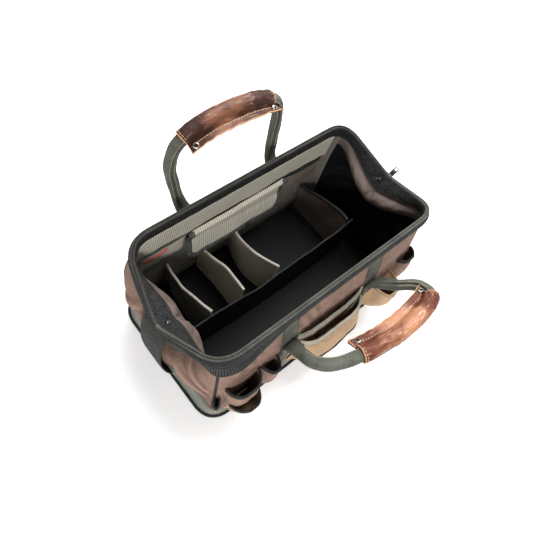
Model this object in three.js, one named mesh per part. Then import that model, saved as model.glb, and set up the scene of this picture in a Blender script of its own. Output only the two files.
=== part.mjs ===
// An open gatemouth tool bag: soft walls on a stiff base, a hinged mouth frame in a cloth sleeve,
// pockets inside and out, and two webbing handles with leather grips.
// Millimetres. X runs along the bag, -Y is its front, Z is up from the floor.
import * as THREE from 'three';

// Mouth frame and base
const RIM_LENGTH = 510;
const RIM_DEPTH = 262;
const RIM_HEIGHT = 286;
const RIM_TURN = 48; // run of the rim's corner curve on each side of the corner
const HINGE_OUT = 30;
const HINGE_DROP = 56;
const HINGE_TURN = 14;
const BASE_LENGTH = 534;
const BASE_DEPTH = 300;
const BASE_TURN = 46;
const BASE_THICK = 3.5;

// Cloth
const SEAT = 0.4; // gap between pieces that are sewn to each other
const WALL = 2.5;
const PANEL = 2; // pocket cloth
const LONG_SWELL = 8; // how far the long walls, the ends and the corners stand out at their fullest
const END_SWELL = 18;
const CORNER_SWELL = 12;
const SWELL_BOXY = 4; // how evenly a side swells across, and how far below the middle it is fullest
const SWELL_LOW = 0.8;
const TUCK_DEPTH = 40; // fold that the ends make into the bag under the arms of the frame
const TUCK_BELOW = 12;
const TUCK_RUN = 64;
const TUCK_SPREAD = 0.6; // share of the arm, from the corner, over which the fold deepens
const TURN_IN_SPREAD = 0.3; // and over which the top of the end turns in under the sleeve
const CREASE_WIDTH = 0.05; // of the way across an end

// Sleeve round the frame, and the open zip that hangs on it
const SLEEVE_THICK = 9;
const SLEEVE_TALL = 27;
const SLEEVE_TALL_HINGE = 42;
const SLEEVE_WIDENS = 0.2; // share of an arm, from its corner, where the sleeve starts to widen
const SLEEVE_EASE = 3; // the sleeve stands this far proud of the walls
const SLEEVE_HEM = 3; // rounding of its lower and upper edges
const SLEEVE_CROWN = 4.5;
const ZIP_TOP = 4;
const ZIP_TALL = 17;
const ZIP_THICK = 2.2;

// Trim
const BAND_TALL = 32;
const BAND_THICK = 1.8;
const PIPING_RADIUS = 3;
const PIPING_SIDES = 5;
const STRAP_WIDTH = 60;
const STRAP_THICK = 2;
const STRAP_EASE = 2.2; // how far it stands off the cloth above its sewn end
const STRAP_ROWS = [0.125, 0.25, 0.42, 0.6, 0.75, 0.88, 0.985]; // shares of the height of the end
const DOME = { wall: 0.45, shoulderOut: 0.7, shoulderUp: 0.85, sides: 12 }; // shares of a rivet's or snap's size
const RIVET_RADIUS = 4.5;
const RIVET_TALL = 2.4;
const RIVET_ASIDE = 8.5; // from the hinge
const SLIDER = { length: 15, wide: 9, narrow: 6, tall: 4.5 };
const PULL = { run: 13, radius: 5.5, eye: 3, thick: 1.6, tilt: 0.6 };

// Handles
const TUBE_RADIUS = 11;
const FOOT_WIDE = 17; // half width and half thickness of the flattened ends
const FOOT_THICK = 3.2;
const FOOT_FLAT = 0.04; // shares of the handle where an end stops being flat, and where it is round
const FOOT_ROUND = 0.16;
const SEWN_RUN = 62; // height of the flat end on the wall, and how far it peels off half way up
const PEEL = 2.2;
const TUBE_SIDES = 10;
const ANCHOR_WIDTH = 36;
const ANCHOR_LOW = 36;
const ANCHOR_HIGH = 256;
const LEATHER = 2.2;
const GRIP_LENGTH = 188;
const GRIP_BORE = 12.8;
const FLANGE = 15; // the two edges of the leather, laid together and sewn
const FLANGE_NECK = 1.12; // where the leaves meet, in radii of the bore
const SEAM_PLY = 1.4; // thickness over a sewn edge, in thicknesses of leather
const GRIP_GAP = 0.28; // half angle left open under the seam
const GRIP_SIDES = 8;
const GRIP_SPANS = 10;
const LEG_SPANS = 9;
const LOOP_CENTRE = 0.6; // how far down from its top the leather's flange points
const SNAP_RADIUS = 4.6;
const SNAP_TALL = 2.2;
const SNAP_INSET = 13;
const SNAP_PLACE = 0.58; // share of the flange

// Folds that run over each end from the hinge to the lower corners.
// across: share from the left edge of the end, rise: share of the height.
const CREASES = table(
  ['fromAcross', 'fromRise', 'toAcross', 'toRise', 'height'],
  [0.44, 0.84, 0.12, 0.26, 5],
  [0.46, 0.7, 0.27, 0.18, -4],
  [0.56, 0.84, 0.88, 0.26, 5],
  [0.54, 0.7, 0.73, 0.18, -4],
);

// Pockets on the long walls. from and to: along the wall from its middle, low and high: above the floor,
// out: how far it stands off the wall, boxy: 2 is a round pouch and more is squarer, drawn: how much of that
// its mouth draws back in, on: the pocket that it is sewn over.
const POCKET_COLUMNS = ['name', 'finish', 'from', 'to', 'low', 'high', 'out', 'boxy', 'drawn', 'on'];
const FRONT_POCKETS = table(
  POCKET_COLUMNS,
  ['front_pocket_centre', 'brown', -85, 85, 36, 182, 10, 4, 0],
  ['front_pocket_face', 'tan', -80, 80, 40, 164, 33, 6, 0.6, 'front_pocket_centre'],
  ['front_pocket_right', 'tan', 127, 186, 36, 142, 46, 5, 0.1],
  ['front_pocket_end', 'brown', 191, 243, 36, 176, 16, 2.5, 0],
  ['front_pocket_knob', 'brown', -165, -127, 36, 160, 24, 2.5, 0],
  ['front_pocket_left', 'brown', -242, -169, 36, 166, 27, 3, 0],
  ['front_corner_loop', 'brown', -266, -249, 36, 128, 20, 2, 0],
  ['front_pocket_loop', 'tan', -236, -176, 56, 116, 13, 2.5, 0, 'front_pocket_left'],
);
const BACK_POCKETS = table(
  POCKET_COLUMNS,
  ['back_pocket_right', 'brown', -242, -127, 36, 176, 26, 4, 0],
  ['back_pocket_middle', 'brown', -85, 85, 36, 176, 26, 4, 0],
  ['back_pocket_left', 'brown', 127, 242, 36, 176, 26, 4, 0],
);
const INNER_POCKETS = table(
  POCKET_COLUMNS,
  ['inner_pocket_left', 'grey', 126, 236, 126, 195, 13, 3, 0],
  ['inner_pocket_right', 'taupe', -226, -118, 118, 190, 12, 3, 0],
);
const DRAWN_FROM = 0.55; // share of a pocket's height where its mouth starts to draw in
const SPAN = 20; // a pocket has a row of faces for about this much of its width, within limits
const FEWEST_SPANS = 4;
const MOST_SPANS = 6;

// What hangs flat on the inside of the back wall. foot and head: distance from what is behind it at the
// bottom and the top.
const INNER_PANELS = table(
  ['name', 'finish', 'from', 'to', 'low', 'high', 'foot', 'head', 'thick'],
  ['inner_panel', 'grey', -228, 236, 197, 256, 1.2, 0, 4.5],
  ['inner_flap', 'grey', -110, 118, 104, 196.2, 16, 4, 3],
);
const TAB = { name: 'pocket_tab', from: 172, to: 226, low: 176, high: 183, thick: 0.8 };

// Upright cloth dividers on the floor of the bag, from the back wall to the lengthwise one.
const DIVIDERS = [
  { name: 'divider_1', x: -165, bow: -9 },
  { name: 'divider_2', x: -87, bow: 4 },
  { name: 'divider_3', x: 2, bow: -16 },
  { name: 'divider_4', x: 200, bow: 5 },
];
const DIVIDER_TALL = 132;
const DIVIDER_THICK = 4;
const DIVIDER_BACK = 104; // where the tall part ends, under the pockets of the back wall
const DIVIDER_STEP = 3; // run of the slope down to the low part
const DIVIDER_SHELF = 96;
const DIVIDER_TAIL = 140;
const DIVIDER_SPANS = 5;
const LENGTHWISE = { left: -236, right: 222, y: -6, bow: 7, tall: 118, spans: 8 };

// Middle line of each handle: x along the bag, out from the middle of the bag, z up.
const HANDLE_FOOT = 106;
const HANDLES = [
  {
    name: 'front',
    side: -1,
    gripMiddle: 0.53,
    line: [
      { x: -112, out: 182, z: 214 },
      { x: -114, out: 206, z: 240 },
      { x: -96, out: 226, z: 254 },
      { x: -50, out: 242, z: 260 },
      { x: 24, out: 254, z: 261 },
      { x: 92, out: 252, z: 258 },
      { x: 132, out: 240, z: 253 },
      { x: 139, out: 214, z: 238 },
      { x: 121, out: 184, z: 212 },
    ],
  },
  {
    name: 'back',
    side: 1,
    gripMiddle: 0.5,
    line: [
      { x: -112, out: 172, z: 226 },
      { x: -121, out: 182, z: 282 },
      { x: -124, out: 188, z: 328 },
      { x: -108, out: 190, z: 368 },
      { x: -58, out: 190, z: 390 },
      { x: 0, out: 190, z: 392 },
      { x: 60, out: 190, z: 382 },
      { x: 103, out: 190, z: 358 },
      { x: 114, out: 188, z: 320 },
      { x: 107, out: 180, z: 274 },
      { x: 102, out: 170, z: 226 },
    ],
  },
];

const FINISHES = {
  brown: { color: 0x8b7062, roughness: 0.85, metalness: 0 },
  tan: { color: 0xb4966f, roughness: 0.85, metalness: 0 },
  grey: { color: 0x96928a, roughness: 0.9, metalness: 0 },
  taupe: { color: 0x7c6a64, roughness: 0.7, metalness: 0 },
  black: { color: 0x2d2f2e, roughness: 0.8, metalness: 0 },
  webbing: { color: 0x62655e, roughness: 0.8, metalness: 0 },
  leather: { color: 0x7a4a33, roughness: 0.5, metalness: 0 },
  steel: { color: 0xb8b8b4, roughness: 0.3, metalness: 1 },
  red: { color: 0xd75f5f, roughness: 0.7, metalness: 0 },
};

// Loop places: 0 front left corner, 1 front right, 2 right hinge, 3 back right, 4 back left, 5 left hinge
const LOOP = 6;
const RIGHT_HINGE = 2;
const LEFT_HINGE = 5;
const BAR_STATIONS = [0, 0.03, 0.06, 0.095, 0.2, 0.35, 0.5, 0.65, 0.8, 0.905, 0.94, 0.97];
const ARM_STATIONS = [0, 0.11, 0.22, 0.33, 0.5, 0.7, 0.9, 0.95];
const NUDGE = 0.001;

const UP = new THREE.Vector3(0, 0, 1);
const { clamp, lerp, smoothstep } = THREE.MathUtils;
const bag = new THREE.Group();

// Rows as objects that have the columns as names
function table(columns, ...rows) {
  return rows.map((row) => Object.fromEntries(columns.map((column, i) => [column, row[i]])));
}

function addPiece(name, geometry, finish) {
  const mesh = new THREE.Mesh(geometry, new THREE.MeshStandardMaterial(FINISHES[finish]));
  mesh.name = name;
  bag.add(mesh);
  return mesh;
}

// A closed solid through rings of equal size. Open ends are capped by a ladder of faces, so a ring runs
// along one face of the section and back along the other.
function loft(rings, closed = false) {
  const size = rings[0].length;
  const corners = rings.flat();
  const faces = [];
  const quad = (a, b, c, d) => faces.push(a, b, c, a, c, d);
  const spans = closed ? rings.length : rings.length - 1;
  for (let i = 0; i < spans; i += 1) {
    const here = i * size;
    const next = ((i + 1) % rings.length) * size;
    for (let j = 0; j < size; j += 1) {
      const k = (j + 1) % size;
      quad(here + j, next + j, next + k, here + k);
    }
  }
  if (!closed) {
    const last = (rings.length - 1) * size;
    for (let j = 0; j < size / 2 - 1; j += 1) {
      const far = size - 1 - j;
      quad(j, j + 1, far - 1, far);
      quad(last + j, last + far, last + far - 1, last + j + 1);
    }
  }
  if (signedVolume(corners, faces) < 0) {
    faces.reverse();
  }
  const geometry = new THREE.BufferGeometry().setFromPoints(corners);
  geometry.setIndex(faces);
  geometry.computeVertexNormals();
  return geometry;
}

function signedVolume(corners, faces) {
  let total = 0;
  const cross = new THREE.Vector3();
  for (let i = 0; i < faces.length; i += 3) {
    cross.crossVectors(corners[faces[i + 1]], corners[faces[i + 2]]);
    total += corners[faces[i]].dot(cross);
  }
  return total;
}

function steps(from, to, count) {
  return Array.from({ length: count + 1 }, (_, i) => lerp(from, to, i / count));
}

// A closed loop through corners, each turned by a curve that starts `turn` before it
function roundedLoop(corners) {
  const count = corners.length;
  const at = (index) => corners[(index + count) % count];
  const turned = (index, along) => {
    const corner = at(index);
    const towards = (other) => other.clone().sub(corner.point).setLength(corner.turn).add(corner.point);
    const curve = new THREE.QuadraticBezierCurve3(
      towards(at(index - 1).point),
      corner.point,
      towards(at(index + 1).point),
    );
    return curve.getPoint(0.5 + along / (2 * corner.turn));
  };
  return (place) => {
    const wrapped = ((place % count) + count) % count;
    const index = Math.floor(wrapped);
    const share = wrapped - index;
    const length = at(index).point.distanceTo(at(index + 1).point);
    if (share * length < at(index).turn) {
      return turned(index, share * length);
    }
    if ((1 - share) * length < at(index + 1).turn) {
      return turned(index + 1, (share - 1) * length);
    }
    return at(index).point.clone().lerp(at(index + 1).point, share);
  };
}

function bagLoop({ length, depth, height, turn, hingeOut, hingeHeight }) {
  const corner = (x, y) => ({ point: new THREE.Vector3((x * length) / 2, (y * depth) / 2, height), turn });
  const middle = (x) => ({
    point: new THREE.Vector3(x * (length / 2 + hingeOut), 0, hingeHeight),
    turn: HINGE_TURN,
  });
  return roundedLoop([corner(-1, -1), corner(1, -1), middle(1), corner(1, 1), corner(-1, 1), middle(-1)]);
}

const rimLoop = bagLoop({
  length: RIM_LENGTH,
  depth: RIM_DEPTH,
  height: RIM_HEIGHT,
  turn: RIM_TURN,
  hingeOut: HINGE_OUT,
  hingeHeight: RIM_HEIGHT - HINGE_DROP,
});
const baseLoop = bagLoop({
  length: BASE_LENGTH,
  depth: BASE_DEPTH,
  height: BASE_THICK + SEAT,
  turn: BASE_TURN,
  hingeOut: 0,
  hingeHeight: BASE_THICK + SEAT,
});

// Level unit vector out of the bag at a place of the loop
function outwardAt(place) {
  const along = rimLoop(place + NUDGE).add(baseLoop(place + NUDGE));
  along.sub(rimLoop(place - NUDGE)).sub(baseLoop(place - NUDGE));
  return new THREE.Vector3(along.y, -along.x, 0).normalize();
}

// 1 at a hinge, falling to 0 at the corners beside it
function hingeShare(place) {
  const wrapped = ((place % LOOP) + LOOP) % LOOP;
  return Math.max(0, 1 - Math.abs(wrapped - RIGHT_HINGE), 1 - Math.abs(wrapped - LEFT_HINGE));
}

// Share of a long wall's height that a height above the floor stands for
function riseOf(z) {
  const low = BASE_THICK + SEAT;
  return (z - low) / (RIM_HEIGHT - SLEEVE_TALL - SEAT - low);
}

function sleeveTall(place) {
  return lerp(SLEEVE_TALL, SLEEVE_TALL_HINGE, smoothstep(hingeShare(place), SLEEVE_WIDENS, 1));
}

// The ends turn in under the sleeve, so their cloth starts lower than the cloth of the long walls
function wallTop(place) {
  const turnedIn = (WALL + SEAT) * smoothstep(hingeShare(place), 0, TURN_IN_SPREAD);
  return rimLoop(place).z - sleeveTall(place) - SEAT - turnedIn;
}

// Share of the way along a long wall or across an end
function sideShare(place) {
  const wrapped = ((place % LOOP) + LOOP) % LOOP;
  const half = wrapped % 3;
  return half < 1 ? half : (half - 1) / 2;
}

function isEnd(place) {
  return ((((place % LOOP) + LOOP) % LOOP) % 3) >= 1;
}

function swell(place, rise) {
  const across = 1 - Math.abs(2 * sideShare(place) - 1) ** SWELL_BOXY;
  const height = Math.sin(Math.PI * clamp(rise, 0, 1) ** SWELL_LOW);
  return lerp(CORNER_SWELL, isEnd(place) ? END_SWELL : LONG_SWELL, across) * height;
}

function tuck(place, rise, tall) {
  const below = (1 - rise) * tall;
  const depth = TUCK_DEPTH * smoothstep(hingeShare(place), 0, TUCK_SPREAD);
  const fall = 1 - smoothstep(below, TUCK_BELOW, TUCK_BELOW + TUCK_RUN);
  return depth * Math.min(clamp(below / TUCK_BELOW, 0, 1), fall);
}

function creased(place, rise) {
  if (!isEnd(place)) {
    return 0;
  }
  const across = sideShare(place);
  let total = 0;
  for (const { fromAcross, fromRise, toAcross, toRise, height } of CREASES) {
    const run = (rise - fromRise) / (toRise - fromRise);
    const middle = lerp(fromAcross, toAcross, run);
    const fade = Math.sin(Math.PI * clamp(run, 0, 1));
    total += height * fade * Math.exp(-(((across - middle) / CREASE_WIDTH) ** 2));
  }
  return total;
}

// Outer face of the cloth body. taut leaves out the folds, as under a strap.
function wallPoint(place, rise, taut = false) {
  const outward = outwardAt(place);
  const low = baseLoop(place);
  const high = rimLoop(place).addScaledVector(outward, -SLEEVE_EASE);
  high.z = wallTop(place);
  const folds = taut ? 0 : creased(place, rise) - tuck(place, rise, high.z - low.z);
  return low.lerp(high, rise).addScaledVector(outward, swell(place, rise) + folds);
}

function normalAt(pointAt, u, v) {
  const along = pointAt(u + NUDGE, v).sub(pointAt(u - NUDGE, v));
  const up = pointAt(u, v + NUDGE).sub(pointAt(u, v - NUDGE));
  return along.cross(up).normalize();
}

// One section of a thin sheet: up the face that pointAt gives and down the face at `thick` behind it
function sheetRing(pointAt, u, rows, thick) {
  const face = rows.map((v) => pointAt(u, v));
  const behind = rows.map((v) => pointAt(u, v).addScaledVector(normalAt(pointAt, u, v), -thick));
  return [...face, ...behind.reverse()];
}

function sheet(pointAt, places, rowsAt, thick) {
  return loft(places.map((place) => sheetRing(pointAt, place, rowsAt(place), thick)));
}

// Stations of the loop from one whole place to another, pulled in a little at both ends
function stations(from, to, trim) {
  const list = [];
  for (let edge = from; edge < to; edge += 1) {
    const kind = edge % 3;
    const shares = kind === 0 ? BAR_STATIONS : ARM_STATIONS;
    const mirrored = () => [0, ...shares.slice(1).map((share) => 1 - share).reverse()];
    list.push(...(kind === 2 ? mirrored() : shares).map((share) => edge + share));
  }
  list.push(to);
  if (trim) {
    list[0] += trim / edgeLength(from);
    list[list.length - 1] -= trim / edgeLength(to - 1);
  }
  return list;
}

function edgeLength(edge) {
  return rimLoop(edge).distanceTo(rimLoop(edge + 1));
}

// Walls
const LONG_ROWS = [0, 0.12, 0.25, 0.4, 0.55, 0.7, 0.85, 1];
const LOW_END_ROWS = [0, 0.2, 0.4, 0.6, 0.8];
const TUCK_ROWS = [...steps(TUCK_BELOW + TUCK_RUN, TUCK_BELOW, 4), TUCK_BELOW / 2, 0]; // below the top

function endRows(place) {
  const tall = wallTop(place) - baseLoop(place).z;
  const folded = TUCK_ROWS.map((below) => 1 - below / tall);
  return [...LOW_END_ROWS.map((share) => share * folded[0]), ...folded];
}

function buildWalls() {
  addPiece('front_wall', sheet(wallPoint, stations(0, 1, SEAT), () => LONG_ROWS, WALL), 'brown');
  addPiece('right_end', sheet(wallPoint, stations(1, 3, SEAT), endRows, WALL), 'brown');
  addPiece('back_wall', sheet(wallPoint, stations(3, 4, SEAT), () => LONG_ROWS, WALL), 'brown');
  addPiece('left_end', sheet(wallPoint, stations(4, 6, SEAT), endRows, WALL), 'brown');
}

// Base panel, and the band and piping round its edge
function buildBase() {
  const outline = stations(0, LOOP).slice(0, -1);
  const level = (z) => outline.map((place) => baseLoop(place).setZ(z));
  const front = (ring) => [...ring.slice(ring.length / 2), ...ring.slice(0, ring.length / 2)];
  addPiece('base_panel', loft([front(level(0)), front(level(BASE_THICK))]), 'black');

  const bandRows = [riseOf(PIPING_RADIUS * 2 + BAND_THICK + SEAT * 2), riseOf(BAND_TALL)];
  const bandPoint = (place, rise) => wallPoint(place, rise, true).addScaledVector(outwardAt(place), SEAT * 2);
  const bandRings = outline.map((place) => sheetRing(bandPoint, place, bandRows, -BAND_THICK));
  addPiece('base_band', loft(bandRings, true), 'webbing');

  const sides = steps(0, Math.PI * 2, PIPING_SIDES).slice(0, -1);
  const pipingRings = outline.map((place) => {
    const outward = outwardAt(place);
    const centre = baseLoop(place).addScaledVector(outward, PIPING_RADIUS + SEAT * 2);
    centre.z = PIPING_RADIUS + SEAT;
    return sides.map((turn) => {
      const edge = centre.clone().addScaledVector(outward, PIPING_RADIUS * Math.cos(turn));
      return edge.addScaledVector(UP, PIPING_RADIUS * Math.sin(turn));
    });
  });
  addPiece('base_piping', loft(pipingRings, true), 'black');
}

// Sections in steps out from the rim line and up from its top
function sweepRim(name, from, to, sectionAt, finish) {
  const rings = stations(from, to, SEAT).map((place) => {
    const outward = outwardAt(place);
    return sectionAt(place).map(([out, up]) => {
      return rimLoop(place).addScaledVector(outward, out).addScaledVector(UP, up);
    });
  });
  addPiece(name, loft(rings), finish);
}

function sleeveSection(place) {
  const tall = sleeveTall(place);
  const outer = [[-SLEEVE_HEM / 2, -tall], [0, SLEEVE_HEM - tall], [0, -SLEEVE_CROWN], [-SLEEVE_CROWN / 2, 0]];
  const inner = outer.map(([out, up]) => [-SLEEVE_THICK - out, up]).reverse();
  return [...outer, ...inner];
}

function zipSection() {
  const outer = [[SEAT + ZIP_THICK, -ZIP_TOP - ZIP_TALL], [SEAT + ZIP_THICK, -ZIP_TOP]];
  const inner = outer.map(([out, up]) => [out - ZIP_THICK, up]).reverse();
  return [...outer, ...inner];
}

function buildMouth() {
  const halves = [
    { name: 'front', from: LEFT_HINGE, to: RIGHT_HINGE + LOOP },
    { name: 'back', from: RIGHT_HINGE, to: LEFT_HINGE },
  ];
  for (const { name, from, to } of halves) {
    sweepRim(`rim_${name}`, from, to, sleeveSection, 'black');
    sweepRim(`zip_${name}`, from, to, zipSection, 'black');
  }
  for (const [name, place] of [['left', LEFT_HINGE], ['right', RIGHT_HINGE]]) {
    buildRivet(`hinge_rivet_${name}`, place);
    buildEndStrap(`end_strap_${name}`, place);
  }
  buildZipSlider();
}

function domeProfile(radius, tall) {
  const shoulder = [radius * DOME.shoulderOut, tall * DOME.shoulderUp];
  const profile = [[0, 0], [radius, 0], [radius, tall * DOME.wall], shoulder, [0, tall]];
  return profile.map(([x, y]) => new THREE.Vector2(x, y));
}

// A dome that stands on a face with the given outward direction
function placeDome(name, radius, tall, foot, direction, finish) {
  const dome = addPiece(name, new THREE.LatheGeometry(domeProfile(radius, tall), DOME.sides), finish);
  dome.quaternion.setFromUnitVectors(new THREE.Vector3(0, 1, 0), direction);
  dome.position.copy(foot);
}

function buildRivet(name, place) {
  const beside = place + RIVET_ASIDE / edgeLength(place);
  const inward = outwardAt(beside).negate();
  const foot = rimLoop(beside).addScaledVector(inward, SLEEVE_THICK + SEAT * 2);
  foot.z -= sleeveTall(beside) / 2;
  placeDome(name, RIVET_RADIUS, RIVET_TALL, foot, inward, 'steel');
}

function buildEndStrap(name, place) {
  const outward = outwardAt(place);
  const sideways = new THREE.Vector3(-outward.y, outward.x, 0);
  const strapPoint = (aside, rise) => {
    const lift = SEAT + STRAP_THICK + STRAP_EASE * smoothstep(rise, STRAP_ROWS[0], STRAP_ROWS[2]);
    const middle = wallPoint(place, rise, true).addScaledVector(outward, lift);
    return middle.addScaledVector(sideways, aside);
  };
  const across = steps(-STRAP_WIDTH / 2, STRAP_WIDTH / 2, 2);
  addPiece(name, sheet(strapPoint, across, () => STRAP_ROWS, STRAP_THICK), 'webbing');
}

// The slider sits on the zip at the right hinge, and its pull stands out and up from it
function buildZipSlider() {
  const { length, wide, narrow, tall } = SLIDER;
  const outward = outwardAt(RIGHT_HINGE);
  const seat = rimLoop(RIGHT_HINGE).addScaledVector(outward, SEAT * 2 + ZIP_THICK);
  seat.z -= ZIP_TOP + ZIP_TALL / 2;
  const outline = [[-length, -narrow], [length, -wide], [length, wide], [-length, narrow]];
  const body = new THREE.Shape(outline.map(([x, y]) => new THREE.Vector2(x / 2, y / 2)));
  const block = new THREE.ExtrudeGeometry(body, { depth: tall, bevelEnabled: false });
  const slider = addPiece('zip_slider', block, 'steel');
  const upright = new THREE.Matrix4().makeBasis(new THREE.Vector3(0, 1, 0), UP, outward);
  slider.quaternion.setFromRotationMatrix(upright);
  slider.position.copy(seat);

  const { run, radius, eye, thick, tilt } = PULL;
  const plate = new THREE.Shape();
  plate.absarc(0, 0, radius, Math.PI / 2, (Math.PI * 3) / 2);
  plate.absarc(run, 0, radius, -Math.PI / 2, Math.PI / 2);
  plate.holes.push(new THREE.Path().absarc(run, 0, eye, 0, Math.PI * 2, true));
  const pullShape = new THREE.ExtrudeGeometry(plate, { depth: thick, bevelEnabled: false, curveSegments: 6 });
  const pull = addPiece('zip_pull', pullShape, 'steel');
  const nearEdge = radius * Math.cos(tilt) + thick * Math.sin(tilt);
  pull.rotation.y = -tilt;
  pull.position.copy(seat).addScaledVector(outward, tall + nearEdge + SEAT);
}

// Pockets
const WALL_RUN = (RIM_LENGTH + BASE_LENGTH) / 2;
const ROW_HEIGHT = 27;
const FRONT_MIDDLE = 0.5;
const BACK_MIDDLE = 3.5;
const SEWN_EDGE = 0.07; // share of a pocket's width over which its side leaves the wall
const FLAT = { out: 0, boxy: 2, drawn: 0 };

// How far a pocket stands off the wall at a point along it and above the floor
function standOff(row, along, z) {
  const across = (along - row.from) / (row.to - row.from);
  const up = (z - row.low) / (row.high - row.low);
  if (across <= 0 || across >= 1 || up <= 0) {
    return 0;
  }
  const side = 1 - Math.abs(2 * across - 1) ** row.boxy;
  const belly = 1 - (1 - clamp(up, 0, 1)) ** 3;
  return row.out * side * (belly - row.drawn * smoothstep(up, DRAWN_FROM, 1));
}

function pocketSheet(row, middle, direction, backing, thick) {
  const pointAt = (along, z) => {
    const place = middle + along / WALL_RUN;
    const point = wallPoint(place, riseOf(z));
    return point.addScaledVector(outwardAt(place), direction * (backing(along, z) + standOff(row, along, z)));
  };
  const width = row.to - row.from;
  const edge = width * SEWN_EDGE;
  const spans = clamp(Math.round(width / SPAN), FEWEST_SPANS, MOST_SPANS);
  const across = [row.from, ...steps(row.from + edge, row.to - edge, spans), row.to];
  const rows = steps(row.low, row.high, Math.max(2, Math.round((row.high - row.low) / ROW_HEIGHT)));
  return sheet(pointAt, across, () => rows, -direction * thick);
}

function buildOuterPockets(rows, middle) {
  for (const row of rows) {
    const under = rows.find(({ name }) => name === row.on);
    const backing = (along, z) => {
      const lifted = under ? standOff(under, along, Math.min(z, under.high)) + PANEL + SEAT * 4 : 0;
      return SEAT + lifted;
    };
    addPiece(row.name, pocketSheet(row, middle, 1, backing, PANEL), row.finish);
  }
}

function buildInside() {
  for (const row of INNER_PANELS) {
    const hung = { ...row, ...FLAT };
    const up = (z) => (z - row.low) / (row.high - row.low);
    const backing = (along, z) => WALL + SEAT * 2 + lerp(row.foot, row.head, up(z));
    addPiece(row.name, pocketSheet(hung, BACK_MIDDLE, -1, backing, row.thick), row.finish);
  }
  for (const row of INNER_POCKETS) {
    addPiece(row.name, pocketSheet(row, BACK_MIDDLE, -1, () => WALL + SEAT * 2, PANEL), row.finish);
  }
  const held = INNER_POCKETS[0];
  const onPocket = (along, z) => WALL + SEAT * 2 + standOff(held, along, z) + PANEL + SEAT * 2;
  addPiece(TAB.name, pocketSheet({ ...TAB, ...FLAT }, BACK_MIDDLE, -1, onPocket, TAB.thick), 'red');
  buildDividers();
}

function buildDividers() {
  const floor = BASE_THICK + SEAT;
  const wallSection = (x, y, half, across, top) => {
    const side = (sign) => new THREE.Vector3(x, y, floor).addScaledVector(across, sign * half);
    const left = side(-1);
    const right = side(1);
    return [left, left.clone().setZ(top), right.clone().setZ(top), right];
  };
  const alongX = new THREE.Vector3(1, 0, 0);
  const alongY = new THREE.Vector3(0, 1, 0);
  const { left, right, y, bow, tall, spans } = LENGTHWISE;
  const lengthwise = steps(0, 1, spans).map((share) => {
    return wallSection(lerp(left, right, share), y - bow * Math.sin(Math.PI * share), PANEL / 2, alongY, tall);
  });
  addPiece('divider_lengthwise', loft(lengthwise), 'black');
  for (const { name, x, bow: sway } of DIVIDERS) {
    const start = y + PANEL / 2 + SEAT;
    const ways = [...steps(start, DIVIDER_BACK, DIVIDER_SPANS), DIVIDER_BACK + DIVIDER_STEP, DIVIDER_TAIL];
    const rings = ways.map((way) => {
      const share = (way - start) / (DIVIDER_TAIL - start);
      const top = way > DIVIDER_BACK ? DIVIDER_SHELF : DIVIDER_TALL;
      return wallSection(x + sway * Math.sin(Math.PI * share), way, DIVIDER_THICK / 2, alongX, top);
    });
    addPiece(name, loft(rings), 'grey');
  }
}

// Handles
function handleCurve({ side, line }) {
  const foot = (x, z, lift) => {
    const place = side < 0 ? FRONT_MIDDLE + x / WALL_RUN : BACK_MIDDLE - x / WALL_RUN;
    return wallPoint(place, riseOf(z)).addScaledVector(outwardAt(place), lift);
  };
  const lift = SEAT * 2 + PANEL + FOOT_THICK;
  const [first, last] = [line[0], line[line.length - 1]];
  const free = line.map(({ x, out, z }) => new THREE.Vector3(x, side * out, z));
  return new THREE.CatmullRomCurve3([
    foot(-HANDLE_FOOT, first.z - SEWN_RUN, lift),
    foot(-HANDLE_FOOT, first.z - SEWN_RUN / 2, lift + PEEL),
    ...free,
    foot(HANDLE_FOOT, last.z - SEWN_RUN / 2, lift + PEEL),
    foot(HANDLE_FOOT, last.z - SEWN_RUN, lift),
  ]);
}

// 0 where an end of the handle lies flat on the wall, 1 where the handle is round
function roundness(share) {
  return smoothstep(Math.min(share, 1 - share), FOOT_FLAT, FOOT_ROUND);
}

// Place, direction towards the middle of the loop, and the direction square to the loop
function handleFrame(curve, share, centre, side) {
  const point = curve.getPointAt(share);
  const tangent = curve.getTangentAt(share);
  const alongWall = new THREE.Vector3(-Math.sign(point.x), 0, 0);
  const inward = alongWall.lerp(centre.clone().sub(point).normalize(), roundness(share));
  inward.addScaledVector(tangent, -inward.dot(tangent)).normalize();
  const square = tangent.clone().cross(inward).multiplyScalar(-side).normalize();
  return { point, inward, square };
}

function tubeRing({ point, inward, square }, share) {
  const round = roundness(share);
  const wide = lerp(FOOT_WIDE, TUBE_RADIUS, round);
  const thick = lerp(FOOT_THICK, TUBE_RADIUS, round);
  return steps(0, Math.PI * 2, TUBE_SIDES).slice(0, -1).map((turn) => {
    const edge = point.clone().addScaledVector(inward, wide * Math.cos(turn));
    return edge.addScaledVector(square, thick * Math.sin(turn));
  });
}

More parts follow.
